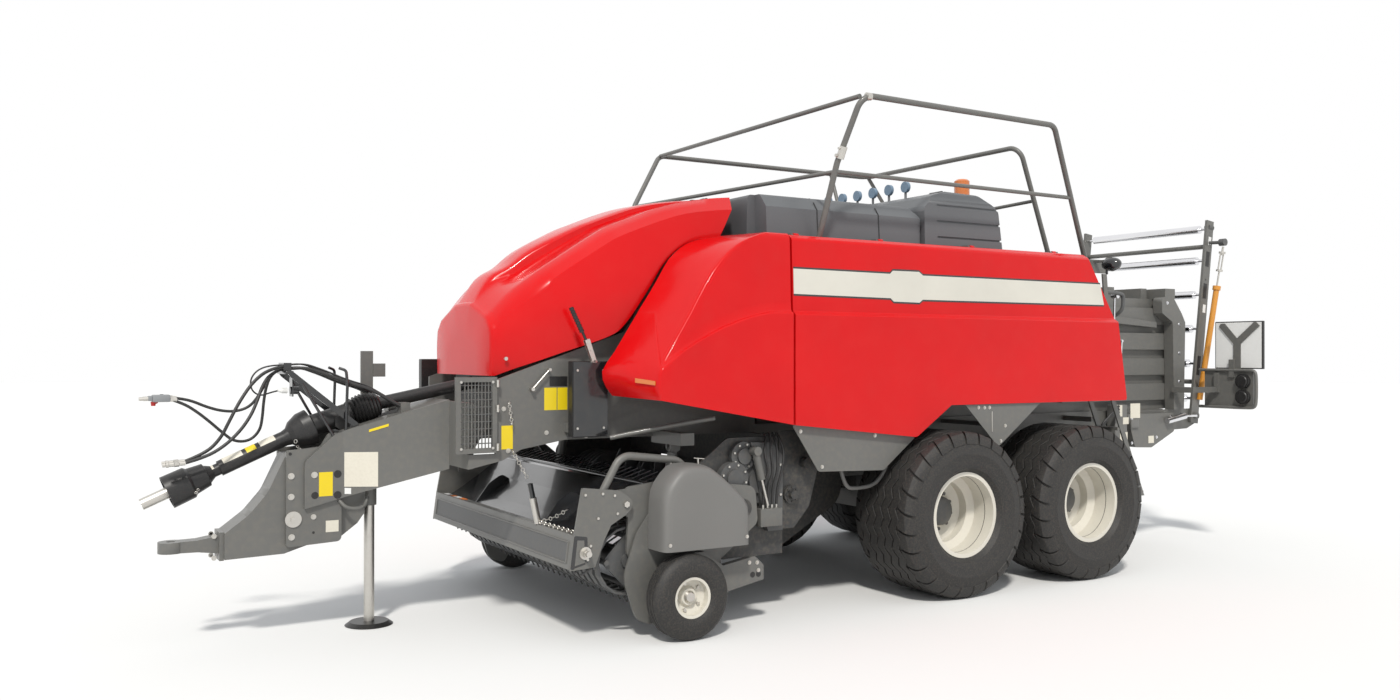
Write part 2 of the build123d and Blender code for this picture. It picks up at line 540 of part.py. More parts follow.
# Top: walking deck, the front cover with the hood's hinge, and the ribbed tank
deck = block(-1985, 1480, -1060, 1060, DECK_TOP - 25, DECK_TOP)
deck_edges = both(block(-1985, 1400, 1040, 1060, DECK_TOP - 80, DECK_TOP + 30))
deck_props = [block(x, x + 60, -640, 640, 2255, DECK_TOP - 24) for x in (-1900, -1000, 900)]
beacon = [rod((-980, 400, 2490), (-980, 400, 3040), 18), rod((-980, 400, 3040), (-980, 400, 3190), 62)]
lamp = fused(rod((-1830, 1200, 2490), (-1890, 1200, 2480), 55), block(-1850, -1820, 1050, 1190, 2501, 2520),
             block(-1850, -1820, 1170, 1190, 2470, 2520))
door_hinges = []
for x in HINGE_AT:
    for start in (x - 42, x + 24):
        door_hinges += both(front_plate([
            (1042, 2510), (1060, 2510), (1060, 2546), (1102, 2546), (1102, 2566), (1042, 2572)], start,
            start + 18))
    door_hinges += both(rod((x - 42, DOOR_HINGE_Y, DOOR_HINGE_Z), (x + 42, DOOR_HINGE_Y, DOOR_HINGE_Z),
        HINGE_PIN_R))
add("deck", deck, *deck_edges, *deck_props, *beacon, *both(lamp), *door_hinges)
cover = side_plate([
    (35, DECK_TOP + 1), (20, 2780, 60), (90, 2850, 90), (1480, 2850, 30), (1490, DECK_TOP + 1)], -1000,
    1000)
cover_ends = front_plate([
    (-1000, DECK_TOP), (-985, 2760), (-900, 2860, 90), (900, 2860, 90), (985, 2760), (1000, DECK_TOP)], 0,
    1500)
HOOD_HINGE = (1500, 2872)
HINGE_R = 7
corners_cut = both(block(1420, 1500, 850, 1010, DECK_TOP, 2900))
ears = [side_plate([(1420, 2845), (1475, 2845), (1510, 2866), (1510, 2880), (1490, 2886), (1420, 2860)],
    y, y + 18)
        for y in (244, 308, -262, -326)]
pins = both(rod((HOOD_HINGE[0], 244, HOOD_HINGE[1]), (HOOD_HINGE[0], 326, HOOD_HINGE[1]), HINGE_R))
PARTS["top_cover"] = fused((cover & cover_ends) - corners_cut[0] - corners_cut[1], *ears, *pins)
knuckle = fused(rod((HOOD_HINGE[0], 268, HOOD_HINGE[1]), (HOOD_HINGE[0], 302, HOOD_HINGE[1]), HINGE_R + 6),
                block(1500, 1550, 268, 302, 2850, 2872))
knuckle = knuckle - rod((HOOD_HINGE[0], 240, HOOD_HINGE[1]), (HOOD_HINGE[0], 330, HOOD_HINGE[1]),
    HINGE_R + 0.05)
PARTS["hood"] = fused(PARTS["hood"], *both(knuckle))
tank = side_plate([
    (8, DECK_TOP + 1), (5, 2840, 60), (-90, 2940, 60), (-270, 2990, 60), (-600, 2980, 90), (-765, 2860, 60),
    (-805, DECK_TOP + 1)], -1030, 1030)
tank_ends = front_plate([
    (-1030, DECK_TOP), (-1015, 2900, 60), (-940, 3000, 90), (940, 3000, 90), (1015, 2900, 60),
    (1030, DECK_TOP)],
    -900, 20)
grooves = both(fused(*[block(-900, -120, 1008, 1100, z, z + 14) for z in (2620, 2740, 2860)]))
tank = (tank & tank_ends) - grooves[0] - grooves[1]
FLAG_Y = (-500, -300, -100, 100, 300, 500)
flags = [rod((-270, y, 2970), (-270, y, 3045), 10) for y in FLAG_Y]
flags += [rod((-282, y, 3078), (-258, y, 3078), 42) for y in FLAG_Y]
PARTS["tank"] = fused(tank, *flags)

# Hand rails: bent tubes that lean out from the deck, with a gap at the rear left for the ladder
RAIL_R = 21
RAIL_BEND = 110
RAIL_FOOT = DECK_TOP + 10
rail_feet = [
    rod((x, y, DECK_TOP), (x, y, DECK_TOP + 13), 24)
    for x, y in ((1018, 1035), (-1750, 1035), (1370, -1025), (-1900, 545), (-1000, -1035), (-1900, -1035))]
rail_left = [
    pipe([(1018, 1035, RAIL_FOOT), (985, 1215, 3060), (915, 1400, 3500), (-1000, 1365, 3500),
    (-1750, 1035, RAIL_FOOT)],
         RAIL_R, RAIL_BEND),
    rod((988, 1203, 3000), (-1385, 1196, 2992), 15)]
rail_right = [
    pipe([(1370, -1025, RAIL_FOOT), (1250, -1240, 3015), (915, -1400, 3500), (-1450, -1400, 3500),
          (-1450, 600, 3500), (-1900, 545, RAIL_FOOT)], RAIL_R, RAIL_BEND),
    rod((1240, -1245, 3010), (-1560, -1200, 3031), 15), rod((-1660, -1120, 3000), (-1660, 570, 3060), 15),
    rod((-1000, -1035, RAIL_FOOT), (-1000, -1400, 3500), RAIL_R - 3),
    rod((-1450, -1380, 3500), (-1900, -1035, RAIL_FOOT), RAIL_R - 3)]
rail_front = [
    rod((917, -1376, 3495), (917, 1376, 3495), RAIL_R - 4), rod((1240, -1235, 3010), (988, 1200, 3000), 15)]
PARTS["hand_rails"] = fused(*rail_feet, *rail_left, *rail_right, *rail_front) - block(-2100, 1200, -1100,
    1100, 2300, DECK_TOP)
PARTS["hand_rails"] = PARTS["hand_rails"] - deck_edges[0] - deck_edges[1]

# Ladder at the rear left, from the deck down behind the wheel
LADDER_Y = (956, 1200)
# Columns: height, x of the ladder's rear face
LADDER_LINE = ((2400, -1760), (1359, -1870), (566, -2233))


def on_ladder(z):
    for (z1, x1), (z0, x0) in zip(LADDER_LINE, LADDER_LINE[1:]):
        if z >= z0:
            return x0 + (x1 - x0) * (z - z0) / (z1 - z0)
    return LADDER_LINE[-1][1]


stringers = [side_plate([
    (on_ladder(2400) - 50, 2400), (on_ladder(1359) - 50, 1359), (on_ladder(566) - 46, 566),
    (on_ladder(566), 566),
    (on_ladder(1359), 1359), (on_ladder(2400), 2400)], y, y + 14) for y in (LADDER_Y[0], LADDER_Y[1] - 14)]
RUNG_Z = (594, 863, 1132, 1400, 1660, 1920, 2180)
rungs = [block(on_ladder(z) - 52, on_ladder(z) + 30, LADDER_Y[0] + 4, LADDER_Y[1] - 4, z - 12,
    z + 12) for z in RUNG_Z]
stays = [block(-1960, -1910, 661, 960, 1180, 1220), block(-1860, -1790, 661, 960, 2300, 2340)]
add("ladder", *stringers, *rungs, *stays)

# Rear frame: portal around the bale channel, its box below and the slanting tail
portal = both(side_plate([
    (-3420, 1240), (-3440, 2040, 20), (-3390, 2120, 20), (-3250, 2290, 40), (-3103, 2260, 40),
    (-3110, 2120), (-3260, 2040, 40), (-3275, 1240)], 665, 760))
head = block(-3290, -3150, -760, 760, 2255, 2345)
side_beams = both(side_plate([(-2433, 2098), (-3110, 2038), (-3110, 1990), (-2433, 2030)], 662, 700))
lower = both(side_plate([
    (-2560, 960), (-2560, 1240), (-3640, 1240), (-3720, 1175, 40), (-3700, 1110, 40), (-3558, 1056),
    (-3290, 1049), (-3099, 964), (-2843, 914), (-2700, 930)], 665, 690))
sill = block(-3345, -3255, -690, 690, 1060, 1150)
chute_pins = both(rod((CHUTE_X, 665, CHUTE_Z), (CHUTE_X, 745, CHUTE_Z), 30))
TAIL_X = (-2600, -3250)
tail_boxes = both(side_plate([
    (TAIL_X[0], 1215, 20), (TAIL_X[1], 1215, 20), (TAIL_X[1], 1047, 30), (-2929, 910, 30),
    (-2705, 920, 30)], 688, 780))
add("rear_frame", *portal, head, *side_beams, *lower, sill, *chute_pins, *tail_boxes)

# Bale chute: two arms with rollers between, folded up behind the channel
ARM_Y = (696, 720)
LEAN = radians(97.7)
CHUTE_LENGTH = 1850


def on_chute(along, out):
    return (CHUTE_X + along * cos(LEAN) + out * sin(LEAN), CHUTE_Z + along * sin(LEAN) - out * cos(LEAN))


arm = side_plate([
    on_chute(-70, -50), on_chute(CHUTE_LENGTH, -40), on_chute(CHUTE_LENGTH, 60), on_chute(-70, 60)], *ARM_Y)
arm = arm - rod((CHUTE_X, 600, CHUTE_Z), (CHUTE_X, 800, CHUTE_Z), 30.05)
ROLLER_AT = (160, 490, 820, 1145, 1470, 1775)
rollers = []
for along in ROLLER_AT:
    x, z = on_chute(along, 10)
    rollers += [rod((x, -612, z), (x, 612, z), 38), rod((x, -695.5, z), (x, 695.5, z), 14)]
ties = []
for along in (320, 1613):
    x, z = on_chute(along, -25)
    ties.append(rod((x, -700, z), (x, 700, z), 22))
add("chute_frame", *both(arm), *ties)
PARTS["chute_rollers"] = Compound(children=[fused(*rollers[n:n + 2]) for n in range(0, len(rollers), 2)])

# Light boards and marker boards on brackets at the rear
board = [block(-3640, -3600, 848, 1325, 1272, 1600)]
board += [rod((-3665, 1240, z), (-3580, 1240, z), 62) for z in (1366, 1506)]
marker = block(-3640, -3615, 950, 1405, 1620, 2040)
bracket = [block(-3600, -3270, 940, 980, 1400, 1450), block(-3290, -3240, 760, 980, 1400, 1450),
           block(-3612, -3582, 1100, 1150, 1540, 1700), block(-3600, -3570, 960, 1000, 1400, 1580)]
pair("rear_boards", fused(*board, *bracket, marker))

# Toolboxes: a flat one on the left wall and a smaller one further ahead on the right wall
toolbox_left = block(2535, 2787, 745, 805, 1213, 1698)
toolbox_right = block(2990, 3270, -805, -745, 1494, 1707)
PARTS["toolboxes"] = Compound(children=[toolbox_left, toolbox_right])
toolbox_arms = [block(2545, 2775, 655, 745, 1240, 1300), block(3040, 3180, -745, -655, 1510, 1560)]
PARTS["front_frame"] = fused(PARTS["front_frame"], *toolbox_arms)

# Plates between and ahead of the wheels
plates = [side_plate([(-918, 1374), (-132, 1374), (-468, 1053, 40)], 1296, 1304)]
plates += [side_plate([(335, 1150), (420, 1225), (1400, 1300), (1400, 1262), (1190, 954, 30),
    (622, 935, 30)],
                      1268, 1276)]
plates += [block(-560, -500, 660, 1300, 1200, 1230), block(860, 920, 660, 1272, 1100, 1140)]
pair("side_plates", fused(*plates))

# Drive shaft: from the flywheel over the drawbar to its front bearing, with a ribbed bellows between
TUBE_REAR = (3152, 0, 1553)
TUBE_FRONT = (3790, 0, 1423)
BELLOWS_END = (3990, 0, 1361)
SLEEVE_END = (4205, 0, 1293)
SHAFT_JOINT = (4240, 0, 1277)
SLOPE = radians(-24)


def turned_along(profile, start, end):
    """A (radius, distance) profile turned about the line from start towards end."""
    run = Vector(*end) - Vector(*start)
    plane = Plane(origin=start, x_dir=(0, 1, 0), z_dir=run)
    points = [plane.from_local_coords(Vector(r, 0, a)) for r, a in profile]
    return Solid.revolve(Face(Wire.make_polygon(points, close=True)), 360, Axis(start, run))


RIBS = 9
bellows_run = hypot(BELLOWS_END[0] - TUBE_FRONT[0], BELLOWS_END[2] - TUBE_FRONT[2])
bellows = [(0.01, 0)]
for rib in range(RIBS):
    start = 4 + rib * (bellows_run - 8) / RIBS
    swell = 98 - 1.2 * abs(rib - RIBS // 2) ** 2
    bellows += [(swell - 12, start), (swell, start + 11)]
bellows += [(70, bellows_run), (0.01, bellows_run)]
FORK_Y = (24, 34)
joint_x, _, joint_z = SHAFT_JOINT
fork = both(side_plate([(4195, 1268), (4199, 1310), (joint_x + 5, joint_z + 12),
    (joint_x - 4, joint_z - 12)], *FORK_Y))
fork += both(rod((joint_x, FORK_Y[0], joint_z), (joint_x, FORK_Y[1], joint_z), 13))
fork.append(rod((joint_x, -FORK_Y[1], joint_z), (joint_x, FORK_Y[1], joint_z), 8))
bearing = side_plate([(3995, 1282), (4055, 1266), (4085, 1288), (4085, 1345), (3995, 1372)], -80, 80)
add("drive_shaft", rod(TUBE_REAR, TUBE_FRONT, 42), turned_along(bellows, TUBE_FRONT, BELLOWS_END), bearing,
    rod(BELLOWS_END, SLEEVE_END, 68), *fork)
trough = rod((3680, 0, 1458), (4080, 0, 1334), 108)
PARTS["drawbar"] = PARTS["drawbar"] - trough
shaft_ahead = (SHAFT_JOINT[0] + cos(SLOPE), 0, SHAFT_JOINT[2] + sin(SLOPE))
# Columns: radius, distance ahead of the joint
PARTS["guard_outer"] = turned_along([
    (0.01, 18), (40, 18), (46, 62), (72, 64), (98, 20), (100, -28), (113, -28), (111, 30), (84, 92),
    (56, 120), (48, 150), (48, 560), (38, 560), (38, 120), (0.01, 120)], SHAFT_JOINT, shaft_ahead)
joint_eye = fused(rod((joint_x, -18, joint_z), (joint_x, 18, joint_z), 15),
                  turned_along([(0.01, 4), (12, 4), (12, 22), (0.01, 22)], SHAFT_JOINT, shaft_ahead))
PARTS["guard_outer"] = fused(PARTS["guard_outer"], joint_eye) - rod((joint_x, -30, joint_z),
    (joint_x, 30, joint_z), 8.05)
PARTS["guard_inner"] = turned_along([
    (22, 170), (37, 170), (37, 600), (58, 636), (72, 640), (84, 730), (98, 745), (101, 877), (90, 877),
    (84, 760), (46, 690), (22, 690)], SHAFT_JOINT, shaft_ahead)
PARTS["shaft_yoke"] = turned_along([
    (0.01, 610), (20, 610), (20, 830), (34, 845), (34, 1027), (17.4, 1027), (17.4, 951), (0.01, 951)],
    SHAFT_JOINT, shaft_ahead)

# Hose holder: two bars up from the drawbar to a clamp,
# with a stay, a guide rod and a parking socket for the plug
HOLDER_X = (4350, 4396)
HOLDER_Z = (1636, 1688)
clamp = block(*HOLDER_X, -78, 78, *HOLDER_Z)
bars = both(side_plate([
    (3943, 1262), (3990, 1288), (4368, 1600), (4396, 1640), (4360, 1640), (3961, 1310)], 138, 146))
bridge = block(4352, 4390, -146, 146, 1618, 1637)
stays = both(rod((4110, 161, 1225), (4300, 140, 1560), 9))
guide = both(pipe([(4040, 160, 1230), (4030, 160, 1560), (4036, 150, 1640), (4075, 130, 1655)], 9, 25))
park = [block(4330, 4338, -42, 42, 1478, 1637), rod((4290, 0, 1515), (4345, 0, 1515), 24)]
holder = fused(clamp, bridge, *bars, *stays, *guide, *park)
PARTS["hose_holder"] = holder - PARTS["drawbar"] - PARTS["hitch_head"]
GLAND_X = (3640, 3700)
glands = both(block(*GLAND_X, 90, 190, 1340, 1432))
POST_X = (3770, 3850)
post = block(*POST_X, -222, -204, 1290, 1763)
valve = block(3690, POST_X[0], -236, -196, 1592, 1680)
PARTS["drawbar"] = fused(PARTS["drawbar"], *glands, post, valve)

# Hoses: free ones from the clamp forward to their couplers, and held ones from the clamp back to the glands
HOSE_R = 10
THIN_R = 9
CABLE_R = 5


def hose(name, points, radius):
    """A tube of straight runs with arcs as large as each pair of runs allows."""
    corners = [Vector(*p) for p in points]
    runs = [b - a for a, b in zip(corners, corners[1:])]
    bends = []
    for before, after in zip(runs, runs[1:]):
        half_turn = radians(before.get_angle(after)) / 2
        bends.append(0.45 * min(before.length, after.length) / tan(half_turn))
    path = FilletPolyline(*corners, radius=bends)
    print(name, "length", round(path.length), "radii", [round(bend) for bend in bends])
    return Solid.sweep(Wire.make_circle(radius, Plane(origin=path @ 0, z_dir=path % 0)), path)


FREE_HOSES = {
    "hose_low_1": (HOSE_R, [
        (4390, 52, 1666), (4480, 60, 1650), (4575, 84, 1575), (4655, 116, 1462), (4716, 132, 1345),
        (4768, 135, 1236), (4850, 135, 1155), (4960, 135, 1114)]),
    "hose_low_2": (HOSE_R, [
        (4390, 22, 1654), (4466, 34, 1622), (4520, 70, 1548), (4556, 112, 1458), (4602, 150, 1365),
        (4670, 165, 1272), (4758, 167, 1190), (4858, 167, 1134), (4960, 167, 1108)]),
    "hose_high_1": (THIN_R, [
        (4390, -22, 1660), (4450, -28, 1618), (4478, -42, 1535), (4488, -60, 1445), (4492, -74, 1352),
        (4505, -80, 1265), (4567, -82, 1203), (4655, -84, 1203), (4722, -86, 1260), (4795, -88, 1330),
        (4868, -90, 1393), (4942, -90, 1444), (5013, -90, 1470)]),
    "hose_high_2": (THIN_R, [
        (4390, -50, 1652), (4440, -60, 1616), (4478, -76, 1553), (4512, -96, 1480), (4560, -114, 1414),
        (4637, -122, 1386), (4725, -122, 1392), (4812, -122, 1420), (4888, -122, 1456), (4952, -122, 1472),
        (5013, -122, 1480)]),
    "plug_cable": (CABLE_R, [
        (4390, 0, 1674), (4470, 2, 1672), (4545, 6, 1640), (4582, 10, 1578), (4568, 10, 1512),
        (4516, 6, 1484), (4462, 2, 1504), (4414, 0, 1515)])}
couplers = [rod((4962, y, z), (5085, y, z - 8), 16) for y, z in ((135, 1114), (167, 1106))]
head = block(5013, 5135, -146, -66, 1455, 1498)
spigots = [rod((5134, y, 1476), (5182, y, 1474), 13) for y in (-122, -90)]
cap = rod((5105, -106, 1456), (5105, -106, 1425), 15)
plug = rod((4345, 0, 1515), (4414, 0, 1515), 18)
add("couplers", *couplers, fused(head, *spigots, cap), plug)
for name, (radius, route) in FREE_HOSES.items():
    PARTS[name] = hose(name, route, radius) - clamp - PARTS["couplers"]
# Columns: place across the clamp and its height, place across the glands and its height, radius
HELD_HOSES = (
    (54, 1652, 172, 1408, HOSE_R), (24, 1652, 144, 1412, HOSE_R), (-24, 1652, -144, 1412, HOSE_R),
    (-54, 1652, -172, 1408, HOSE_R), (38, 1676, 120, 1420, CABLE_R), (-38, 1676, -120, 1420, CABLE_R),
    (60, 1676, 108, 1400, CABLE_R))
HELD_LINE = ((4356, 0, 0.0), (4262, 6, 0.0), (4140, -8, 0.12), (4010, -16, 0.32), (3890, 6, 0.55),
    (3790, 10, 0.8), (3694, 0, 1.0))
held = []
for y0, z0, y1, z1, radius in HELD_HOSES:
    route = []
    for x, lift, share in HELD_LINE:
        fall = (4356 - x) / (4356 - 3694)
        route.append((x, y0 + (y1 - y0) * fall,
            z0 + lift + (z1 - z0) * share + 0.12 * y0 * share * (1 - share)))
    held.append(hose("held hose", route, radius) - clamp - glands[0] - glands[1])
PARTS["held_hoses"] = Compound(children=held)

os.makedirs("parts", exist_ok=True)
for name in sorted(PARTS):
    shape = Pos(-MIDDLE_X, 0, 0) * PARTS[name]
    export_step(shape, f"parts/{name}.step")
    box = shape.bounding_box()
    print(name, len(shape.solids()), [round(v) for v in (*box.min, *box.max)], round(shape.volume / 1e6, 1))
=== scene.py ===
from math import atan2, cos, pi, radians, sin

import bmesh
import bpy
from mathutils import Matrix, Vector


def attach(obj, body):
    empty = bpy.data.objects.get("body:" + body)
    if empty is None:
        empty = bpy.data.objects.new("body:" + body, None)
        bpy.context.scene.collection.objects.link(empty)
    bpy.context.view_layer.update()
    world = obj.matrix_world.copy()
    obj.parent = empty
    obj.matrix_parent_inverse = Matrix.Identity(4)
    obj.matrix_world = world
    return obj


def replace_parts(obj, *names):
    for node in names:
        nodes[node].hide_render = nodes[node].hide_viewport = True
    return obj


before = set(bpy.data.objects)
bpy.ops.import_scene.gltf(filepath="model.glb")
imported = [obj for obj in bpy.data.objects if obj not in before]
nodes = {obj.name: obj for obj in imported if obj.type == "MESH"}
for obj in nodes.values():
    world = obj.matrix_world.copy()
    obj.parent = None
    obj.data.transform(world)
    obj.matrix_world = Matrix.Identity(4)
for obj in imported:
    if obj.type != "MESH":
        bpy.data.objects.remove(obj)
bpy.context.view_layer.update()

scene = bpy.context.scene
scene.view_settings.view_transform = "Standard"


# Main tyres: wide low-pressure tyres of black rubber, one on each rim. The tread is five zigzag ribs with
# shoulder lugs either side, moulded on the carcass. Every table below counts X from the front main axle,
# which stands at AXLE_X in the frame.
AXLE_X = -0.6


def fill(node, **values):
    """Sets a node's inputs; _ stands for the spaces in their names."""
    for socket, value in values.items():
        node.inputs[socket.replace("_", " ")].default_value = value
    return node


def link(tree, *rows):
    """Joins an output to an input for each row of node, output, node, input."""
    for source, output, target, socket in rows:
        tree.links.new(source.outputs[output], target.inputs[socket])


def speckle_group():
    """Worn look for every finish: a tinted base colour, an uneven roughness and a fine height."""
    group = bpy.data.node_groups.new("uneven_surface", "ShaderNodeTree")
    for label, kind, start in (("Base", "Color", (0.5, 0.5, 0.5, 1)), ("Dust", "Color", (0.3, 0.25, 0.18, 1)),
                               ("Dusty", "Float", 0.1), ("Grain", "Float", 60.0), ("Rough", "Float", 0.4)):
        group.interface.new_socket(label, in_out="INPUT", socket_type="NodeSocket" + kind).default_value = start
    for label, kind in (("Colour", "Color"), ("Roughness", "Float"), ("Height", "Float")):
        group.interface.new_socket(label, in_out="OUTPUT", socket_type="NodeSocket" + kind)
    new = group.nodes.new
    given, out, place = new("NodeGroupInput"), new("NodeGroupOutput"), new("ShaderNodeTexCoord")
    cloud = fill(new("ShaderNodeTexNoise"), Scale=1.6, Detail=5)
    grain = fill(new("ShaderNodeTexNoise"), Detail=3)
    shade = fill(new("ShaderNodeMapRange"), To_Min=0.84, To_Max=1.1)
    patch = fill(new("ShaderNodeMapRange"), From_Min=0.42, From_Max=0.75)
    swing = fill(new("ShaderNodeMapRange"), To_Min=-0.05, To_Max=0.07)
    tone, amount, rough, mix = (new("ShaderNode" + kind) for kind in ("VectorMath", "Math", "Math", "Mix"))
    tone.operation, amount.operation, mix.data_type = "SCALE", "MULTIPLY", "RGBA"
    colour_a, colour_b, blended = 6, 7, 2
    link(group, (given, "Grain", grain, "Scale"), (place, "Object", cloud, "Vector"),
         (place, "Object", grain, "Vector"), (cloud, "Fac", shade, "Value"), (given, "Base", tone, 0),
         (shade, "Result", tone, "Scale"), (grain, "Fac", patch, "Value"), (patch, "Result", amount, 0),
         (given, "Dusty", amount, 1), (amount, 0, mix, "Factor"), (tone, "Vector", mix, colour_a),
         (given, "Dust", mix, colour_b), (mix, blended, out, "Colour"), (grain, "Fac", swing, "Value"),
         (swing, "Result", rough, 0), (given, "Rough", rough, 1), (rough, 0, out, "Roughness"),
         (grain, "Fac", out, "Height"))
    return group


uneven = speckle_group()


def finish(name, base, rough, metallic=0.0, coat=0.0, dusty=0.08, grain=60.0, relief=0.0, specular=0.5):
    """A procedural finish; base is a linear colour, relief the depth of its grain in metres."""
    mat = bpy.data.materials.new(name)
    mat.use_nodes = True
    shader = fill(mat.node_tree.nodes["Principled BSDF"], Metallic=metallic, Specular_IOR_Level=specular,
                  Coat_Weight=coat, Coat_Roughness=0.06)
    look = mat.node_tree.nodes.new("ShaderNodeGroup")
    look.node_tree = uneven
    fill(look, Base=(*base, 1), Dusty=dusty, Grain=grain, Rough=rough)
    link(mat.node_tree, (look, "Colour", shader, "Base Color"), (look, "Roughness", shader, "Roughness"))
    if relief:
        bump = fill(mat.node_tree.nodes.new("ShaderNodeBump"), Distance=relief)
        link(mat.node_tree, (look, "Height", bump, "Height"), (bump, "Normal", shader, "Normal"))
    return mat


def piece(name, bm, mat, body="chassis", sharp=35):
    """A finished mesh on its body, which leaves bm empty; edges bent more than sharp degrees stay crisp."""
    bmesh.ops.translate(bm, verts=bm.verts, vec=(AXLE_X, 0, 0))
    bmesh.ops.recalc_face_normals(bm, faces=bm.faces)
    mesh = bpy.data.meshes.new(name)
    bm.to_mesh(mesh)
    bm.clear()
    mesh.materials.append(mat)
    mesh.shade_smooth()
    mesh.set_sharp_from_angle(angle=radians(sharp))
    ob = bpy.data.objects.new(name, mesh)
    scene.collection.objects.link(ob)
    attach(ob, body)
    return ob


def turn(bm, profile, centre, steps=64, waves=0, swing=0.0):
    """Closed (radius, y) corners spun about the transverse axis; waves bends the ring swing metres each way."""
    before = len(bm.verts)
    x, y, z = centre
    verts = [bm.verts.new((x, y + w, z + r)) for r, w in profile]
    edges = [bm.edges.new(pair) for pair in zip(verts, verts[1:] + verts[:1])]
    bmesh.ops.spin(bm, geom=verts + edges, cent=centre, axis=(0, 1, 0), dvec=(0, 0, 0), angle=2 * pi,
                   steps=steps, use_merge=True)
    bm.verts.ensure_lookup_table()
    for vert in bm.verts[before:] if waves else ():
        phase = atan2(vert.co.z - z, vert.co.x - x) / (2 * pi) * waves
        vert.co.y += swing * (4 * abs(phase % 1 - 0.5) - 1)


def verts_in(geom):
    return [item for item in geom if isinstance(item, bmesh.types.BMVert)]


rubber = finish("tyre_rubber", (0.0175, 0.017, 0.017), 0.62, dusty=0.1, grain=90, relief=0.0006)
TYRE_Y, AXLE_Z = 1.186, 0.596
MAIN_WHEELS = (("front_left", 0.0, 1), ("front_right", 0.0, -1), ("rear_left", -1.33, 1), ("rear_right", -1.33, -1))
# Columns: radius, distance out from the middle of the tread
SIDEWALL = ((0.2905, 0.238), (0.3, 0.242), (0.318, 0.262), (0.33, 0.279), (0.336, 0.286), (0.344, 0.287),
            (0.35, 0.291), (0.38, 0.297), (0.43, 0.304), (0.436, 0.307), (0.444, 0.307), (0.45, 0.304),
            (0.5, 0.297), (0.525, 0.286), (0.55, 0.27), (0.567, 0.252), (0.578, 0.225), (0.583, 0.19))
RIB = ((0.576, 0.035), (0.594, 0.0345), (0.596, 0.0325))
LUG = ((0.596, 0.198), (0.5955, 0.232), (0.586, 0.262), (0.566, 0.281), (0.54, 0.293), (0.512, 0.2985),
       (0.505, 0.292), (0.53, 0.27), (0.56, 0.24), (0.572, 0.198))
PITCHES = 26
RIB_GAP, ZIGZAG = 0.08, 0.019
LUG_RUN, LUG_LEAN = 0.86, 0.9
bm = bmesh.new()
for place, x, side in MAIN_WHEELS:
    centre = (x, side * TYRE_Y, AXLE_Z)
    turn(bm, list(SIDEWALL) + [(r, -w) for r, w in reversed(SIDEWALL)], centre, 96)
    for rib in range(-2, 3):
        middle = RIB_GAP * rib
        turn(bm, [(r, middle + w) for r, w in RIB] + [(r, middle - w) for r, w in reversed(RIB)], centre,
             8 * PITCHES, PITCHES, ZIGZAG)
    step = 2 * pi / PITCHES
    for shoulder in (-1, 1):
        face = bm.faces.new([bm.verts.new((x, side * TYRE_Y + shoulder * w, AXLE_Z + r)) for r, w in LUG])
        raised = bmesh.ops.extrude_face_region(bm, geom=[face])["geom"]
        bmesh.ops.rotate(bm, verts=verts_in(raised), cent=centre, matrix=Matrix.Rotation(LUG_RUN * step, 3, "Y"))
        lug = list({vert for item in raised if isinstance(item, bmesh.types.BMFace) for vert in item.verts}
                   | set(face.verts))
        for vert in lug:
            lean = LUG_LEAN * (abs(vert.co.y - centre[1]) - LUG[0][1]) * shoulder
            bmesh.ops.rotate(bm, verts=[vert], cent=centre, matrix=Matrix.Rotation(lean, 3, "Y"))
        solid = list({item for vert in lug for item in (*vert.link_faces, *vert.link_edges)}) + lug
        for count in range(1, PITCHES):
            copy = bmesh.ops.duplicate(bm, geom=solid)["geom"]
            bmesh.ops.rotate(bm, verts=verts_in(copy), cent=centre, matrix=Matrix.Rotation(count * step, 3, "Y"))
    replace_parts(piece("tyre_" + place + "_tread", bm, rubber, "wheel_" + place, 28), "tyre_" + place)

# Main wheels' rims and hubs: a stepped cap and a ring of nuts in dark paint on each cream steel disc, a thin
# dark bead line inside the rim, and the valve stem.
def dress(mat, *names):
    """The finish of pieces that keep the mesh of their solid."""
    for name in names:
        for place in nodes[name].material_slots:
            place.link = "OBJECT"
            place.material = mat


def rod(bm, start, end, radius, radius_end=None, segments=24):
    start, end = Vector(start), Vector(end)
    run = end - start
    place = Matrix.Translation((start + end) / 2) @ run.to_track_quat("Z", "Y").to_matrix().to_4x4()
    bmesh.ops.create_cone(bm, cap_ends=True, segments=segments, radius1=radius,
                          radius2=radius if radius_end is None else radius_end, depth=run.length, matrix=place)


def nut_ring(bm, centre, ring, count, start, radius, radius_end, depth):
    """Hexagon nuts evenly spaced on a ring about a wheel's axle."""
    for nut in range(count):
        angle = nut * 2 * pi / count + start
        at = Vector(centre) + Vector((ring * cos(angle), 0, ring * sin(angle)))
        bmesh.ops.create_cone(bm, cap_ends=True, segments=6, radius1=radius, radius2=radius_end, depth=depth,
                              matrix=Matrix.Translation(at) @ Matrix.Rotation(pi / 2, 4, "X"))


cream = finish("cream_paint", (0.66, 0.63, 0.55), 0.32, coat=0.3, dusty=0.05)
dark_grey = finish("dark_grey_paint", (0.085, 0.087, 0.088), 0.45, dusty=0.1, grain=30)
black_plastic = finish("black_plastic", (0.014, 0.014, 0.015), 0.38, dusty=0.05, grain=120)
dress(cream, "rim_front_left", "rim_front_right", "rim_rear_left", "rim_rear_right")
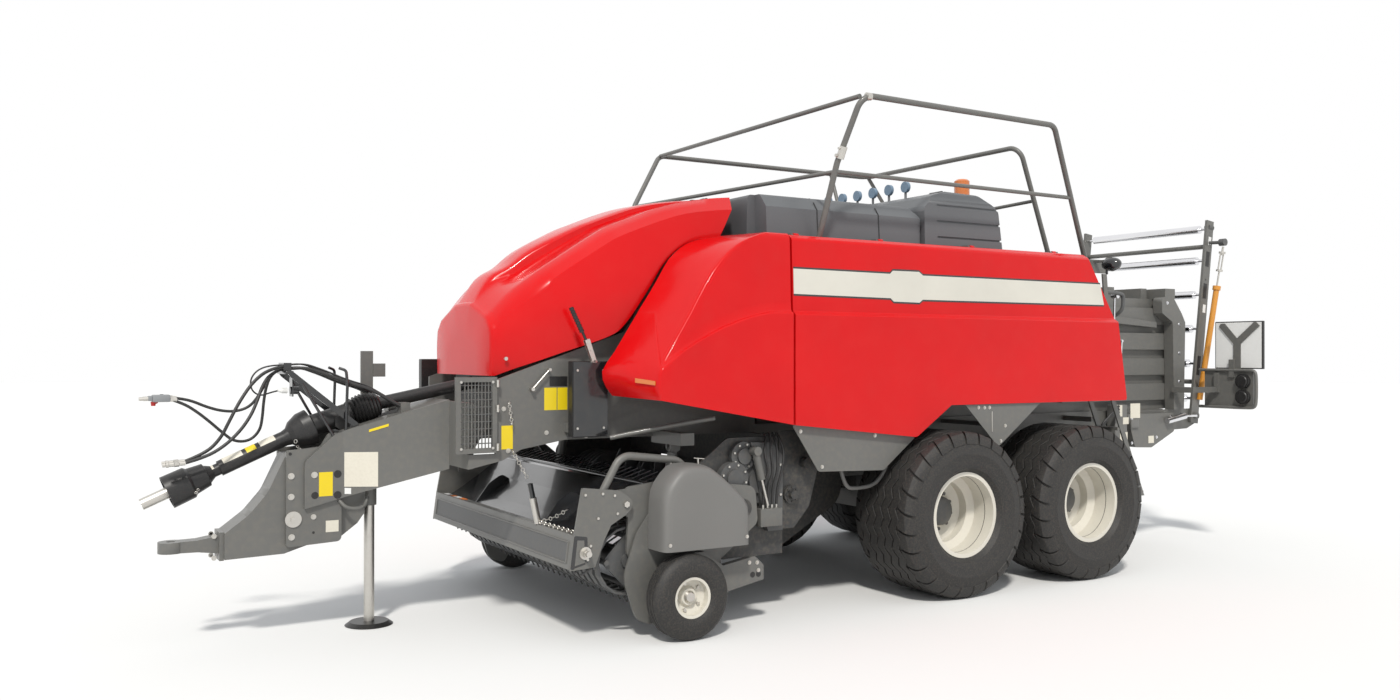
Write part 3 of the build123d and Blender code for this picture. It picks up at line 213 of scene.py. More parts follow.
# Columns: radius, distance out from the middle of the tread
HUB_CAP = ((0.1135, -0.07), (0.1135, -0.055), (0.104, 0.008), (0.099, 0.0135), (0.0715, 0.0245), (0.001, 0.0245),
           (0.001, -0.07))
BEAD_LINE = ((0.2768, 0.165), (0.279, 0.165), (0.279, 0.1685), (0.2768, 0.1685))
for place, x, side in MAIN_WHEELS:
    y, body = side * TYRE_Y, "wheel_" + place
    turn(bm, [(r, side * w) for r, w in HUB_CAP], (x, y, AXLE_Z), 48)
    piece("hub_cap_" + place, bm, dark_grey, body)
    nut_ring(bm, (x, y - side * 0.055, AXLE_Z), 0.1365, 10, 0.2, 0.0135, 0.0115, 0.044)
    piece("wheel_nuts_" + place, bm, dark_grey, body)
    turn(bm, [(r, side * w) for r, w in BEAD_LINE], (x, y, AXLE_Z), 96)
    rod(bm, (x + 0.262, y + side * 0.06, AXLE_Z), (x + 0.25, y + side * 0.105, AXLE_Z), 0.004)
    piece("rim_line_" + place, bm, black_plastic, body)

# Gauge wheels: small ribbed rubber tyres on cream pressed rims, which turn on stubs behind the pickup. Each has
# a zinc cap and five nuts.
zinc = finish("zinc_plate", (0.62, 0.6, 0.56), 0.36, metallic=1.0, dusty=0.08, grain=90)
SIDES = (("left", 1), ("right", -1))
GAUGE_AT = (2.29, 1.4, 0.262)
GAUGE_TYRE = [(0.1235, 0.06), (0.126, 0.07), (0.15, 0.088), (0.17, 0.09), (0.222, 0.085), (0.24, 0.074),
              (0.256, 0.058), (0.262, 0.046)]
for edge in (0.036, 0.012):
    GAUGE_TYRE += [(0.262, edge), (0.252, edge - 0.003), (0.252, edge - 0.007), (0.262, edge - 0.01)]
GAUGE_RIM = ((0.11, 0.066), (0.131, 0.07), (0.134, 0.07), (0.134, 0.066), (0.123, 0.063), (0.123, -0.063),
             (0.134, -0.066), (0.134, -0.07), (0.11, -0.066), (0.112, 0.004), (0.06, -0.011), (0.046, 0.014),
             (0.0205, 0.014), (0.0205, 0.02), (0.05, 0.022), (0.066, -0.003), (0.112, 0.014))
GAUGE_HUB = ((0.001, 0.018), (0.034, 0.018), (0.038, 0.026), (0.028, 0.04), (0.001, 0.04))
for side, out in SIDES:
    x, y, z = GAUGE_AT
    body = "gauge_wheel_" + side
    for name, profile, mat, slot, steps in (
            ("_tyre", GAUGE_TYRE + [(r, -w) for r, w in reversed(GAUGE_TYRE)], rubber, "tyre", 72),
            ("_rim", [(r, out * w) for r, w in GAUGE_RIM], cream, "cream", 64),
            ("_hub", [(r, out * w) for r, w in GAUGE_HUB], zinc, "steel", 32)):
        turn(bm, profile, (x, out * y, z), steps)
        if name == "_hub":
            nut_ring(bm, (x, out * (y + 0.012), z), 0.085, 5, 0, 0.011, 0.011, 0.012)
        made = piece(body + name, bm, mat, body)
        if name == "_tyre":
            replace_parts(made, body)

# Frames, axles, drawbar, bale channel, chute and rails: welded steel sheet and tube in satin grey paint. They
# keep the meshes of their solids, with ground edges.
def soften(width, *names):
    """Rolled or ground edges on pieces that keep their own mesh."""
    for name in names:
        weld = nodes[name].modifiers.new("weld", "WELD")
        weld.merge_threshold = 0.0001
        edge = nodes[name].modifiers.new("edges", "BEVEL")
        edge.width = width
        edge.segments = 2
        edge.angle_limit = radians(32)
        edge.harden_normals = True


grey = finish("grey_paint", (0.128, 0.127, 0.119), 0.42, coat=0.15, dusty=0.1, grain=30)
dress(grey, "axles", "channel_roof", "channel_sides", "deck", "drawbar", "front_frame", "chute_frame",
      "hand_rails", "hitch_head", "hitch_eye", "ladder", "lift_barrels", "main_frame", "pickup_frame",
      "rear_frame", "side_plates", "walking_beams", "rear_boards")
soften(0.004, "drawbar", "hitch_head", "front_frame", "side_plates", "rear_frame", "hitch_eye", "walking_beams",
       "axles", "main_frame")

# Crop and bale machinery: rotor, reel and bands in dark paint, housings and the heavy masses inside in near black,
# which is partly their own dark colour and partly painted shade of the machine's insides, chute rollers and lift
# rods in chrome, all in the meshes of their solids.
# Near black: partly the parts' own dark colour, partly painted shade of the deep zone behind the shields.
near_black_shade = finish("dark_machinery_painted_shade", (0.04, 0.04, 0.04), 0.5, dusty=0.15, grain=40)
chrome = finish("chrome", (0.8, 0.8, 0.82), 0.13, metallic=1.0, dusty=0.03)
dress(dark_grey, "feed_rotor", "stripper_bands", "pickup_reel")
dress(near_black_shade, "feed_duct", "feeder_housing", "main_gearbox", "plunger", "twine_boxes")
dress(chrome, "chute_rollers", "lift_rods")
soften(0.004, "twine_boxes", "feeder_housing")

# Free hoses and the light cable: black rubber hoses from the clamp to the couplers that the tractor takes,
# held up stiffly in the air. Each is one swept line.
def sweep(name, points, radius, mat, shift=AXLE_X, rounds=4, steps=8):
    """A round bar or line on the chassis along smooth bends; shift moves the points to the frame's X."""
    line = bpy.data.curves.new(name, "CURVE")
    line.dimensions = "3D"
    line.bevel_depth = radius
    line.bevel_resolution = rounds
    line.resolution_u = steps
    line.use_fill_caps = True
    spline = line.splines.new("NURBS")
    spline.points.add(len(points) - 1)
    for knot, (x, y, z) in zip(spline.points, points):
        knot.co = (x + shift, y, z, 1)
    spline.order_u = 3
    spline.use_endpoint_u = True
    line.materials.append(mat)
    bar = bpy.data.objects.new(name, line)
    scene.collection.objects.link(bar)
    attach(bar, "chassis")
    return bar


black = finish("black_gloss_paint", (0.01, 0.011, 0.013), 0.2, coat=0.7, dusty=0.04, grain=20)
hose_rubber = finish("hose_rubber", (0.02, 0.02, 0.021), 0.45, dusty=0.06, grain=150)
dress(black, "hose_holder")
dress(hose_rubber, "held_hoses")
# Columns: radius, real length, how it ends, centre line from the clamp's face
HOSES = {
    "hose_low_1": (0.01, 0.838, "connector", [
        (3.796, 0.053, 1.665), (3.88, 0.06, 1.65), (3.975, 0.084, 1.575), (4.055, 0.116, 1.462),
        (4.116, 0.132, 1.345), (4.168, 0.135, 1.236), (4.25, 0.135, 1.155), (4.36, 0.135, 1.114)]),
    "hose_low_2": (0.01, 0.85, "connector", [
        (3.796, 0.023, 1.651), (3.866, 0.034, 1.622), (3.92, 0.07, 1.548), (3.956, 0.112, 1.458),
        (4.002, 0.15, 1.365), (4.07, 0.165, 1.272), (4.158, 0.167, 1.19), (4.258, 0.167, 1.134),
        (4.36, 0.167, 1.108)]),
    "hose_high_1": (0.009, 1.05, "connector", [
        (3.796, -0.023, 1.656), (3.85, -0.028, 1.618), (3.878, -0.042, 1.535), (3.888, -0.06, 1.445),
        (3.892, -0.074, 1.352), (3.905, -0.08, 1.265), (3.967, -0.082, 1.203), (4.055, -0.084, 1.203),
        (4.122, -0.086, 1.26), (4.195, -0.088, 1.33), (4.268, -0.09, 1.393), (4.342, -0.09, 1.444),
        (4.413, -0.09, 1.47)]),
    "hose_high_2": (0.009, 0.78, "connector", [
        (3.796, -0.051, 1.648), (3.84, -0.06, 1.616), (3.878, -0.076, 1.553), (3.912, -0.096, 1.48),
        (3.96, -0.114, 1.414), (4.037, -0.122, 1.386), (4.125, -0.122, 1.392), (4.212, -0.122, 1.42),
        (4.288, -0.122, 1.456), (4.352, -0.122, 1.472), (4.413, -0.122, 1.48)]),
    "plug_cable": (0.005, 0.455, "plug", [
        (3.796, 0.0, 1.674), (3.87, 0.002, 1.672), (3.945, 0.006, 1.64), (3.982, 0.01, 1.578),
        (3.968, 0.01, 1.512), (3.916, 0.006, 1.484), (3.862, 0.002, 1.504), (3.814, 0.0, 1.515)])}
for name, (radius, length, end, points) in HOSES.items():
    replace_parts(sweep(name + "_line", points, radius, hose_rubber, 0, 5, 10), name)

# Hose ends: zinc-plated quick couplers on the two low hoses, a cast grey coupler block with a red dust cap
# on the two high ones, and the light cable's round plug, parked in its socket.
def box(bm, low, high, edge=0.0):
    """A box between two corners, with its edges rounded by edge metres."""
    low, high = Vector(low), Vector(high)
    made = bmesh.ops.create_cube(bm, size=1, matrix=Matrix.LocRotScale((low + high) / 2, None, high - low))
    if edge:
        edges = list({e for v in made["verts"] for e in v.link_edges})
        bmesh.ops.bevel(bm, geom=edges, offset=edge, segments=2, affect="EDGES", profile=0.5, material=-1)


white = finish("white_plastic", (0.8, 0.8, 0.78), 0.35, dusty=0.04, grain=40)
# Columns: distance along the coupler, radius
COUPLER_STEPS = ((0.0, 0.0125), (0.032, 0.0125), (0.034, 0.016), (0.06, 0.016), (0.062, 0.0135), (0.088, 0.0135),
                 (0.09, 0.0155), (0.104, 0.0155), (0.106, 0.0115), (0.123, 0.0115))
ends = {}
for name, y, z in (("hose_low_1", 0.135, 1.114), ("hose_low_2", 0.167, 1.106)):
    along = Vector((0.123, 0, -0.008)).normalized()
    start = Vector((4.962, y, z))
    for (near, radius), (far, _) in zip(COUPLER_STEPS[::2], COUPLER_STEPS[1::2]):
        rod(bm, start + along * near, start + along * far, radius, segments=6 if radius == 0.016 else 24)
    ends[name] = piece(name + "_coupler", bm, zinc)
for name, y, z in (("hose_high_1", -0.09, 1.47), ("hose_high_2", -0.122, 1.48)):
    rod(bm, (4.978, y, z - 0.004), (5.013, y, z), 0.0125)
    rod(bm, (5.0, y, z - 0.001), (5.014, y, z), 0.0145, segments=6)
    ends[name] = piece(name + "_ferrule", bm, zinc)
rod(bm, (4.36, 0, 1.515), (4.392, 0, 1.515), 0.018)
rod(bm, (4.392, 0, 1.515), (4.408, 0, 1.515), 0.016, 0.01)
rod(bm, (4.408, 0, 1.515), (4.418, 0, 1.515), 0.008)
ends["plug_cable"] = piece("cable_plug", bm, white)
block_paint = finish("cast_grey", (0.24, 0.25, 0.26), 0.5, dusty=0.06, grain=200, relief=0.0002)
box(bm, (5.015, -0.146, 1.455), (5.112, -0.066, 1.498), 0.006)
box(bm, (5.112, -0.14, 1.462), (5.135, -0.072, 1.492), 0.004)
rod(bm, (5.06, -0.106, 1.496), (5.06, -0.106, 1.502), 0.01)
piece("coupler_block", bm, block_paint)
for y in (-0.122, -0.09):
    rod(bm, (5.134, y, 1.476), (5.16, y, 1.475), 0.013)
    rod(bm, (5.16, y, 1.475), (5.182, y, 1.474), 0.0105)
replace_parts(piece("coupler_spigots", bm, zinc), "couplers")
red_cap = finish("red_dust_cap", (0.55, 0.02, 0.015), 0.4, dusty=0.05)
rod(bm, (5.105, -0.106, 1.457), (5.105, -0.106, 1.432), 0.015, 0.012)
rod(bm, (5.08, -0.106, 1.453), (5.105, -0.106, 1.44), 0.004)
piece("dust_cap", bm, red_cap)

# Front modules: the smooth fixed covers between the side doors and the hood, of moulded red sheet. Their
# side runs on from the door's crease, and their front face turns in at a slanting ridge to meet the hood.
def pair(name, bm, mat, body="chassis", slot="grey", sharp=35):
    """The left piece that bm holds, which is given back, and its mirror image on the right."""
    right = bm.copy()
    bmesh.ops.scale(right, vec=(1, -1, 1), verts=right.verts)
    left = piece(name + "_left", bm, mat, body, sharp)
    piece(name + "_right", right, mat, body, sharp)
    right.free()
    return left


def between(rows, steps):
    """Rows of numbers with steps - 1 smooth rows put in after each but the last."""
    filled = []
    for n in range(len(rows) - 1):
        four = [rows[min(max(k, 0), len(rows) - 1)] for k in (n - 1, n, n + 1, n + 2)]
        for k in range(steps):
            t = k / steps
            filled.append([0.5 * (2 * b + (c - a) * t + (2 * a - 5 * b + 4 * c - d) * t ** 2
                                  + (3 * b - a - 3 * c + d) * t ** 3) for a, b, c, d in zip(*four)])
    return filled + [list(rows[-1])]


def skin(bm, curves):
    """A sheet laid through curves of equally many points."""
    across, along = len(curves[0]) - 1, len(curves) - 1
    made = bmesh.ops.create_grid(bm, x_segments=across, y_segments=along, size=1)
    for vert in made["verts"]:
        column, row = round((vert.co.x + 1) / 2 * across), round((vert.co.y + 1) / 2 * along)
        vert.co = curves[row][column]


def shell(bm, inside, thick):
    """The sheet gets its thickness on the side where the point inside lies."""
    bmesh.ops.recalc_face_normals(bm, faces=bm.faces)
    facing = sum((face.calc_center_median() - Vector(inside)).dot(face.normal) * face.calc_area()
                 for face in bm.faces)
    if facing < 0:
        bmesh.ops.reverse_faces(bm, faces=bm.faces)
    bmesh.ops.solidify(bm, geom=bm.faces[:], thickness=thick)


def cut_off(bm, point, away):
    """What lies beyond the plane through point goes, on the side that away points to."""
    bmesh.ops.bisect_plane(bm, geom=bm.verts[:] + bm.edges[:] + bm.faces[:], plane_co=point, plane_no=away,
                           clear_outer=True)


red = finish("red_gloss_paint", (0.6, 0.0025, 0.004), 0.2, coat=0.12, dusty=0.012, grain=8, specular=0.22)
# Columns: height, y of the side, x of the ridge, x at the fold and x at the hood
MODULE_ROWS = (
    (1.23, 1.32, 2.36, 2.41, 2.42), (1.44, 1.32, 2.42, 2.48, 2.505), (1.53, 1.32, 2.44, 2.535, 2.575),
    (1.634, 1.32, 2.434, 2.56, 2.604), (1.76, 1.32, 2.355, 2.47, 2.515), (1.957, 1.32, 2.228, 2.33, 2.385),
    (2.002, 1.32, 2.2, 2.3, 2.355), (2.012, 1.312, 2.194, 2.294, 2.349), (2.032, 1.29, 2.182, 2.282, 2.337),
    (2.15, 1.286, 2.112, 2.205, 2.256), (2.26, 1.283, 2.04, 2.13, 2.186), (2.369, 1.28, 1.946, 2.055, 2.117),
    (2.45, 1.277, 1.842, 1.955, 2.028), (2.495, 1.275, 1.757, 1.87, 1.948), (2.52, 1.27, 1.69, 1.79, 1.865),
    (2.537, 1.258, 1.64, 1.72, 1.79), (2.547, 1.24, 1.605, 1.665, 1.728))
# Columns: x, height of the side's crease, which falls from the door to the nose
MODULE_CREASE = ((1.4, 2.022), (1.618, 2.018), (1.775, 1.985), (2.003, 1.905), (2.224, 1.79), (2.325, 1.706),
                 (2.43, 1.62), (2.6, 1.56))
rows = between(MODULE_ROWS, 2)


def read_at(table, value):
    """The row of the table at this value of its first column."""
    for a, b in zip(table, table[1:]):
        if value <= b[0] or b is table[-1]:
            share = min(max((value - a[0]) / (b[0] - a[0]), 0), 1)
            return [p + (q - p) * share for p, q in zip(a, b)]


def lowered(z, x):
    """How far the crease pulls down what is drawn at height z on a level panel."""
    pull = min(max((z - 1.44) / 0.56, 0), 1) * min(max((2.5 - z) / 0.468, 0), 1)
    return z + (read_at(MODULE_CREASE, x)[1] - 2.012) * pull


DOOR_EDGE, FOLD_Y, STEPS_ACROSS = 1.429, 0.995, 12
# Columns: how far the corner is rolled in from the side, share of the way from the ridge to the fold
CORNER = ((0.004, 0.0), (0.018, 0.0), (0, 0.12), (0, 0.3), (0, 0.5), (0, 0.75), (0, 1.0))
curves = []
for z, y, *_ in rows:
    run = []
    for n in range(STEPS_ACROSS + 1):
        x, height = DOOR_EDGE, z
        for _ in range(4):
            height = lowered(z, x)
            x = DOOR_EDGE + (read_at(rows, height)[2] - 0.012 - DOOR_EDGE) * n / STEPS_ACROSS
        run.append((x, y, height))
    low = height
    for y_in, share in CORNER:
        height = low + (z - low) * share
        _, _, ridge, fold, seam = read_at(rows, height)
        start = y - 0.018
        run.append((ridge + (fold - ridge) * share + (0.0 if share else (-0.004 if y_in < 0.01 else 0.003)),
                    y - y_in if y_in else start + (FOLD_Y - start) * share, height))
    run += [(fold + (seam - fold) * n / 3, FOLD_Y - 0.135 * n / 3, z) for n in range(1, 4)]
    curves.append(run)
curves.append([(x, 0.7 + 0.5 * (y - 0.7), z + 0.001) for x, y, z in curves[-1]])
skin(bm, curves)
cut_off(bm, (1.411, 0, 1.276), (0.179, 0, -1))
shell(bm, (1.6, 0.9, 2.0), 0.02)
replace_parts(pair("front_module", bm, red, slot="red", sharp=40), "front_modules")

# Hood: one big moulded red shell over the driveline, hinged on the front cover at its rear edge, with a soft
# crease along each side, a shoulder and a raised spine that runs out in the nose.
# Columns: x, then y and z of the low edge, crease, shoulder, top, spine's foot and spine's edge, then z of
# the middle
HOOD_ROWS = (
    (3.202, 0.535, 1.605, 0.546, 1.8, 0.53, 1.915, 0.45, 1.99, 0.2, 2.075, 0.13, 2.09, 2.095),
    (3.09, 0.585, 1.65, 0.602, 1.906, 0.58, 2.035, 0.49, 2.125, 0.205, 2.195, 0.14, 2.255, 2.268),
    (2.957, 0.642, 1.698, 0.665, 1.96, 0.648, 2.15, 0.545, 2.248, 0.225, 2.258, 0.172, 2.335, 2.352),
    (2.8, 0.69, 1.755, 0.715, 2.022, 0.69, 2.27, 0.575, 2.362, 0.25, 2.362, 0.2, 2.455, 2.482),
    (2.508, 0.76, 1.858, 0.782, 2.143, 0.755, 2.47, 0.625, 2.56, 0.3, 2.545, 0.25, 2.612, 2.632),
    (2.395, 0.785, 1.945, 0.8, 2.19, 0.778, 2.53, 0.645, 2.615, 0.32, 2.61, 0.268, 2.662, 2.68),
    (2.255, 0.815, 2.151, 0.822, 2.262, 0.802, 2.588, 0.675, 2.672, 0.34, 2.668, 0.285, 2.718, 2.737),
    (2.119, 0.838, 2.367, 0.842, 2.42, 0.825, 2.64, 0.702, 2.728, 0.358, 2.722, 0.3, 2.768, 2.785),
    (1.949, 0.852, 2.495, 0.856, 2.54, 0.846, 2.69, 0.728, 2.776, 0.376, 2.77, 0.316, 2.812, 2.826),
    (1.728, 0.868, 2.54, 0.872, 2.59, 0.862, 2.722, 0.748, 2.815, 0.396, 2.808, 0.334, 2.846, 2.858),
    (1.51, 0.88, 2.545, 0.884, 2.6, 0.872, 2.742, 0.76, 2.838, 0.41, 2.832, 0.35, 2.86, 2.868))
curves = []
for x, *points, middle in between(HOOD_ROWS, 4):
    half = list(zip(points[0::2], points[1::2])) + [(0, middle)]
    half = between(half[:3], 4)[:-1] + between(half[2:4], 2)[:-1] + between(half[3:], 4)
    curves.append([(x, y, z) for y, z in half] + [(x, -y, z) for y, z in reversed(half[:-1])])
nose, NOSE_FOOT = curves[0], 1.605
for x, scale in ((3.216, 0.992), (3.226, 0.972), (3.231, 0.935), (3.233, 0.5), (3.234, 0.001)):
    curves.insert(0, [(x, y * scale, NOSE_FOOT + (z - NOSE_FOOT) * scale) for _, y, z in nose])
skin(bm, curves)
cut_off(bm, (1.721, 0, 2.541), (-0.312, 0, -0.162))
shell(bm, (2.3, 0, 2.0), 0.022)
hood = piece("hood_skin", bm, red, "hood", 40)
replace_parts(hood, "hood")
for y in (0.285, -0.285):
    bmesh.ops.create_cone(bm, cap_ends=True, segments=24, radius1=0.013, radius2=0.013, depth=0.034, matrix=(
        Matrix.Translation((1.5, y, 2.872)) @ Matrix.Rotation(pi / 2, 4, "X")))
    box(bm, (1.5, y - 0.017, 2.852), (1.6, y + 0.017, 2.868))
piece("hood_hinges", bm, dark_grey, "hood")

# Side doors: the CAD panels with rolled edges in the hood's red, each with a blank cream stripe in a dark
# outline; the stripe bulges to an eight-sided field behind the front axle.
def plate(bm, corners, at, raise_by):
    """A flat plate: at turns each corner into a point, and raise_by is its depth as a vector."""
    face = bm.faces.new([bm.verts.new(at(*corner)) for corner in corners])
    bmesh.ops.translate(bm, verts=verts_in(bmesh.ops.extrude_face_region(bm, geom=[face])["geom"]), vec=raise_by)


STRIPE = ((1.405, 2.312), (0.569, 2.308), (0.544, 2.331), (0.3, 2.332), (0.262, 2.307), (-1.626, 2.306),
          (-1.665, 2.141), (0.269, 2.134), (0.3, 2.112), (0.541, 2.114), (0.569, 2.137), (1.405, 2.144))
stripe_paint = finish("stripe_film", (0.62, 0.6, 0.53), 0.3, coat=0.4, dusty=0.03, grain=20)
dress(red, "door_left", "door_right")
for side, out in SIDES:
    for name, grow, lift, mat in (("stripe_edge_", 0.012, 0.0012, black), ("stripe_", 0.0, 0.0024, stripe_paint)):
        corners = [(x, z + (grow if z > 2.222 else -grow)) for x, z in STRIPE]
        plate(bm, corners, lambda x, z: (x, out * (1.2905 - (z - 2.03) * 0.03125), z), (0, out * lift, 0))
        piece(name + side, bm, mat, "door_" + side)
soften(0.005, "door_left", "door_right")

# Hitch and drawbar fittings: zinc bolts, dark plug holes, a big zinc washer, a bent handle, the shaft guard's
# chains, and blank warning and data plates.
def peg(bm, x, z, y, y_end, radius, segments=24):
    """A round or six-sided boss across the machine."""
    rod(bm, (x, y, z), (x, y_end, z), radius, segments=segments)


def pegs(bm, *rows):
    """Bosses on both sides of the machine, one for each row of x, z, y, end, radius and segments."""
    for x, z, *rest in rows:
        peg(bm, x, z, *rest)
        peg(bm, x, z, -rest[0], -rest[1], *rest[2:])


def bolts(bm, places, face, radius=0.009, depth=0.008):
    """Hexagon heads on washers at (x, z) places, on both faces that lie face metres to the side."""
    for x, z in places:
        pegs(bm, (x, z, face, face + 0.002, radius * 1.5), (x, z, face, face + depth, radius, 6))


def flat(name, low, high, y, mat, thick=0.0015):
    """A thin upright plate or label on the left, between two (x, z) corners."""
    box(bm, (low[0], y, low[1]), (high[0], y + thick, high[1]))
    piece(name, bm, mat)


yellow = finish("yellow_label", (0.8, 0.6, 0.01), 0.35, dusty=0.03)
label = finish("pale_label", (0.7, 0.66, 0.56), 0.45, dusty=0.1, grain=70)
bolts(bm, ((4.365, 0.995), (4.365, 0.868), (4.362, 0.621)), 0.148, 0.013, 0.011)
bolts(bm, ((4.232, 0.998),), 0.172, 0.013, 0.011)
bolts(bm, ((4.232, 0.737),), 0.148, 0.011, 0.01)
pegs(bm, (4.353, 0.73, 0.148, 0.156, 0.049, 40), (4.353, 0.73, 0.156, 0.168, 0.017, 6))
bolts(bm, ((4.79, 0.65), (4.79, 0.52)), 0.06, 0.01, 0.009)
piece("hitch_bolts", bm, zinc)
for x, z, radius, face in ((4.092, 0.996, 0.024, 0.172), (4.229, 0.871, 0.022, 0.172), (4.092, 0.866, 0.024, 0.172),
                           (4.371, 1.131, 0.01, 0.148), (4.16, 1.175, 0.009, 0.148), (4.232, 0.64, 0.008, 0.148)):
    pegs(bm, (x, z, face - 0.004, face + 0.0008, radius, 32))
piece("hitch_plug_holes", bm, black_plastic)
flat("hitch_warning_label", (4.122, 0.863), (4.205, 1.012), 0.1722, yellow)
flat("hitch_small_label", (4.08, 0.636), (4.158, 0.707), 0.1482, label)


def on_beam(x, z):
    """A point on the drawbar's tapering left side."""
    return x, 0.173 + (4.06 - x) * 0.2078, z


for name, corners, mat in (
        ("drawbar_data_plate", ((4.052, 1.13), (3.853, 1.126), (3.853, 0.908), (4.052, 0.915)), label),
        ("drawbar_small_label", ((4.05, 0.908), (4.012, 0.905), (4.012, 0.868), (4.05, 0.87)), white),
        ("drawbar_strip_label", ((3.907, 1.268), (3.79, 1.303), (3.79, 1.287), (3.907, 1.252)), yellow)):
    plate(bm, corners, on_beam, (0.0003, 0.0015, 0))
    piece(name, bm, mat)
sweep("drawbar_handle", [(4.08, 0.15, 0.835), (4.06, 0.175, 0.8), (4.02, 0.185, 0.778),
                         (3.95, 0.185, 0.775), (3.91, 0.16, 0.8), (3.9, 0.14, 0.84)], 0.012, grey)


def chain(bm, start, end, sag=0.0, size=0.011):
    """Steel links from start to end, hung sag metres below the straight line."""
    start, end = Vector(start), Vector(end)
    out = (end - start).normalized()
    count = max(int((end - start).length / (size * 2.1)), 2)
    for n in range(count):
        share = (n + 0.5) / count
        at = start.lerp(end, share) - Vector((0, 0, 4 * sag * share * (1 - share)))
        upright = Vector((0, 0, 1)) if abs(out.z) < 0.8 else Vector((0, 1, 0))
        axis = Matrix.Rotation(pi / 2 * (n % 2), 3, out) @ out.cross(upright).normalized()
        disc = bmesh.ops.create_circle(bm, segments=6, radius=size * 0.24, matrix=Matrix.Translation(at + out * size)
                                       @ out.cross(axis).to_track_quat("Z", "Y").to_matrix().to_4x4())
        bmesh.ops.spin(bm, geom=disc["verts"] + list({e for v in disc["verts"] for e in v.link_edges}), cent=at,
                       axis=axis, dvec=(0, 0, 0), angle=2 * pi, steps=12, use_merge=True)


chain(bm, (4.33, 0.075, 1.225), (4.29, 0.118, 1.15), 0.03)
chain(bm, (4.87, 0.06, 0.985), (4.9, 0.11, 0.93), 0.03, 0.008)
piece("shaft_guard_chains", bm, zinc)

# Front frame fittings: cross wires in the cage, a long ribbed grip lever over the black toolbox, a sprung latch
# bar, blank labels, the chain that holds the wind guard up and the front module's stay.
dress(black_plastic, "toolboxes")
soften(0.004, "toolboxes")
for row in range(9):
    z = 1.19 + 0.045 * row
    rod(bm, (3.262, 0.676, z), (3.494, 0.676, z), 0.0035, segments=8)
piece("cage_wires", bm, dark_grey)
for x in (3.275, 3.48):
    for z in (1.16, 1.57):
        peg(bm, x, z, 0.69, 0.698, 0.009, 6)
for z in (1.165, 1.405, 1.56):
    rod(bm, (3.245, 0.7, z - 0.022), (3.245, 0.7, z + 0.022), 0.01)
piece("cage_bolts", bm, zinc)
flat("toolbox_panel", (2.54, 1.218), (2.782, 1.693), 0.806, black, 0.006)
for x, z in ((2.57, 1.64), (2.755, 1.64), (2.57, 1.27), (2.755, 1.27)):
    peg(bm, x, z, 0.811, 0.819, 0.008, 12)
peg(bm, 3.15, 1.714, 0.586, 0.6, 0.012, 20)
bolts(bm, ((3.16, 1.135), (3.19, 1.4), (2.9, 1.24), (2.62, 1.21)), 0.66, 0.01, 0.009)
piece("front_frame_bolts", bm, zinc)
for name, low, high, mat in (("dark_label", (2.755, 1.537), (2.879, 1.6), black_plastic),
                             ("yellow_label_1", (2.83, 1.384), (2.916, 1.528), yellow),
                             ("yellow_label_2", (2.755, 1.384), (2.824, 1.528), yellow),
                             ("yellow_label_3", (3.13, 1.146), (3.206, 1.294), yellow)):
    flat("frame_" + name, low, high, 0.6602, mat)
rod(bm, (3.008, 0.69, 1.521), (2.891, 0.69, 1.644), 0.006)
peg(bm, 3.008, 1.521, 0.66, 0.7, 0.012)
peg(bm, 2.891, 1.644, 0.66, 0.7, 0.01)
chain(bm, (3.171, 0.7, 1.448), (3.15, 0.7, 1.3), 0, 0.01)
chain(bm, (3.15, 0.7, 1.14), (3.05, 0.71, 0.96), 0, 0.011)
piece("latch_bar_and_chains", bm, zinc)
rod(bm, (2.7, 0.842, 1.815), (2.742, 0.842, 1.9), 0.009)
foot, tip = Vector((2.737, 0.842, 1.885)), Vector((2.815, 0.842, 2.04))
rod(bm, foot, foot.lerp(tip, 0.99), 0.0125)
for n in range(9):
    rod(bm, foot.lerp(tip, n / 9), foot.lerp(tip, (n + 0.62) / 9), 0.017, 0.015)
piece("hood_lever", bm, black_plastic)
for y in (0.826, 0.852):
    plate(bm, ((2.64, 1.7), (2.668, 1.69), (2.722, 1.83), (2.69, 1.842)), lambda x, z: (x, y, z), (0, 0.005, 0))
for x, z in ((2.66, 1.72), (2.68, 1.77), (2.7, 1.815)):
    peg(bm, x, z, 0.822, 0.861, 0.006, 12)
box(bm, (2.635, 0.805, 1.69), (2.665, 0.857, 1.706), 0.003)
piece("hood_lever_bracket", bm, zinc)
sweep("module_stay", [(2.567, 0.9, 1.209), (2.5, 0.93, 1.225), (2.1, 1.135, 1.31),
                      (1.965, 1.2, 1.334)], 0.016, grey)

# Wind guard fittings: the grey front beam and end plates over the black sheet, hexagon pivot bosses, the
# crop roller's zinc strut with its chains, and small blank orange and white labels.
dress(black, "wind_guard")
GUARD_BEAM = ((2.894, 0.499), (2.899, 0.656), (2.986, 0.669), (3.0135, 0.466), (2.984, 0.468), (2.964, 0.638),
              (2.922, 0.634), (2.917, 0.507))
plate(bm, GUARD_BEAM, lambda x, z: (x, -1.2475, z), (0, 2.495, 0))
GUARD_PLATE = ((3.013, 0.461), (2.986, 0.668), (2.935, 0.944), (2.92, 0.946), (2.69, 0.919), (2.625, 0.88),
               (2.596, 0.85), (2.606, 0.8), (2.64, 0.768), (2.742, 0.712), (2.79, 0.62), (2.849, 0.469))
for y in (1.2465, -1.2615):
    plate(bm, GUARD_PLATE, lambda x, z: (x, y, z), (0, 0.015, 0))
piece("wind_guard_beam", bm, grey, "wind_guard", 25)


def on_beam_face(y, z):
    """A point on the beam's front face, which leans back."""
    return 2.9866 + (0.669 - z) * 0.1355, y, z


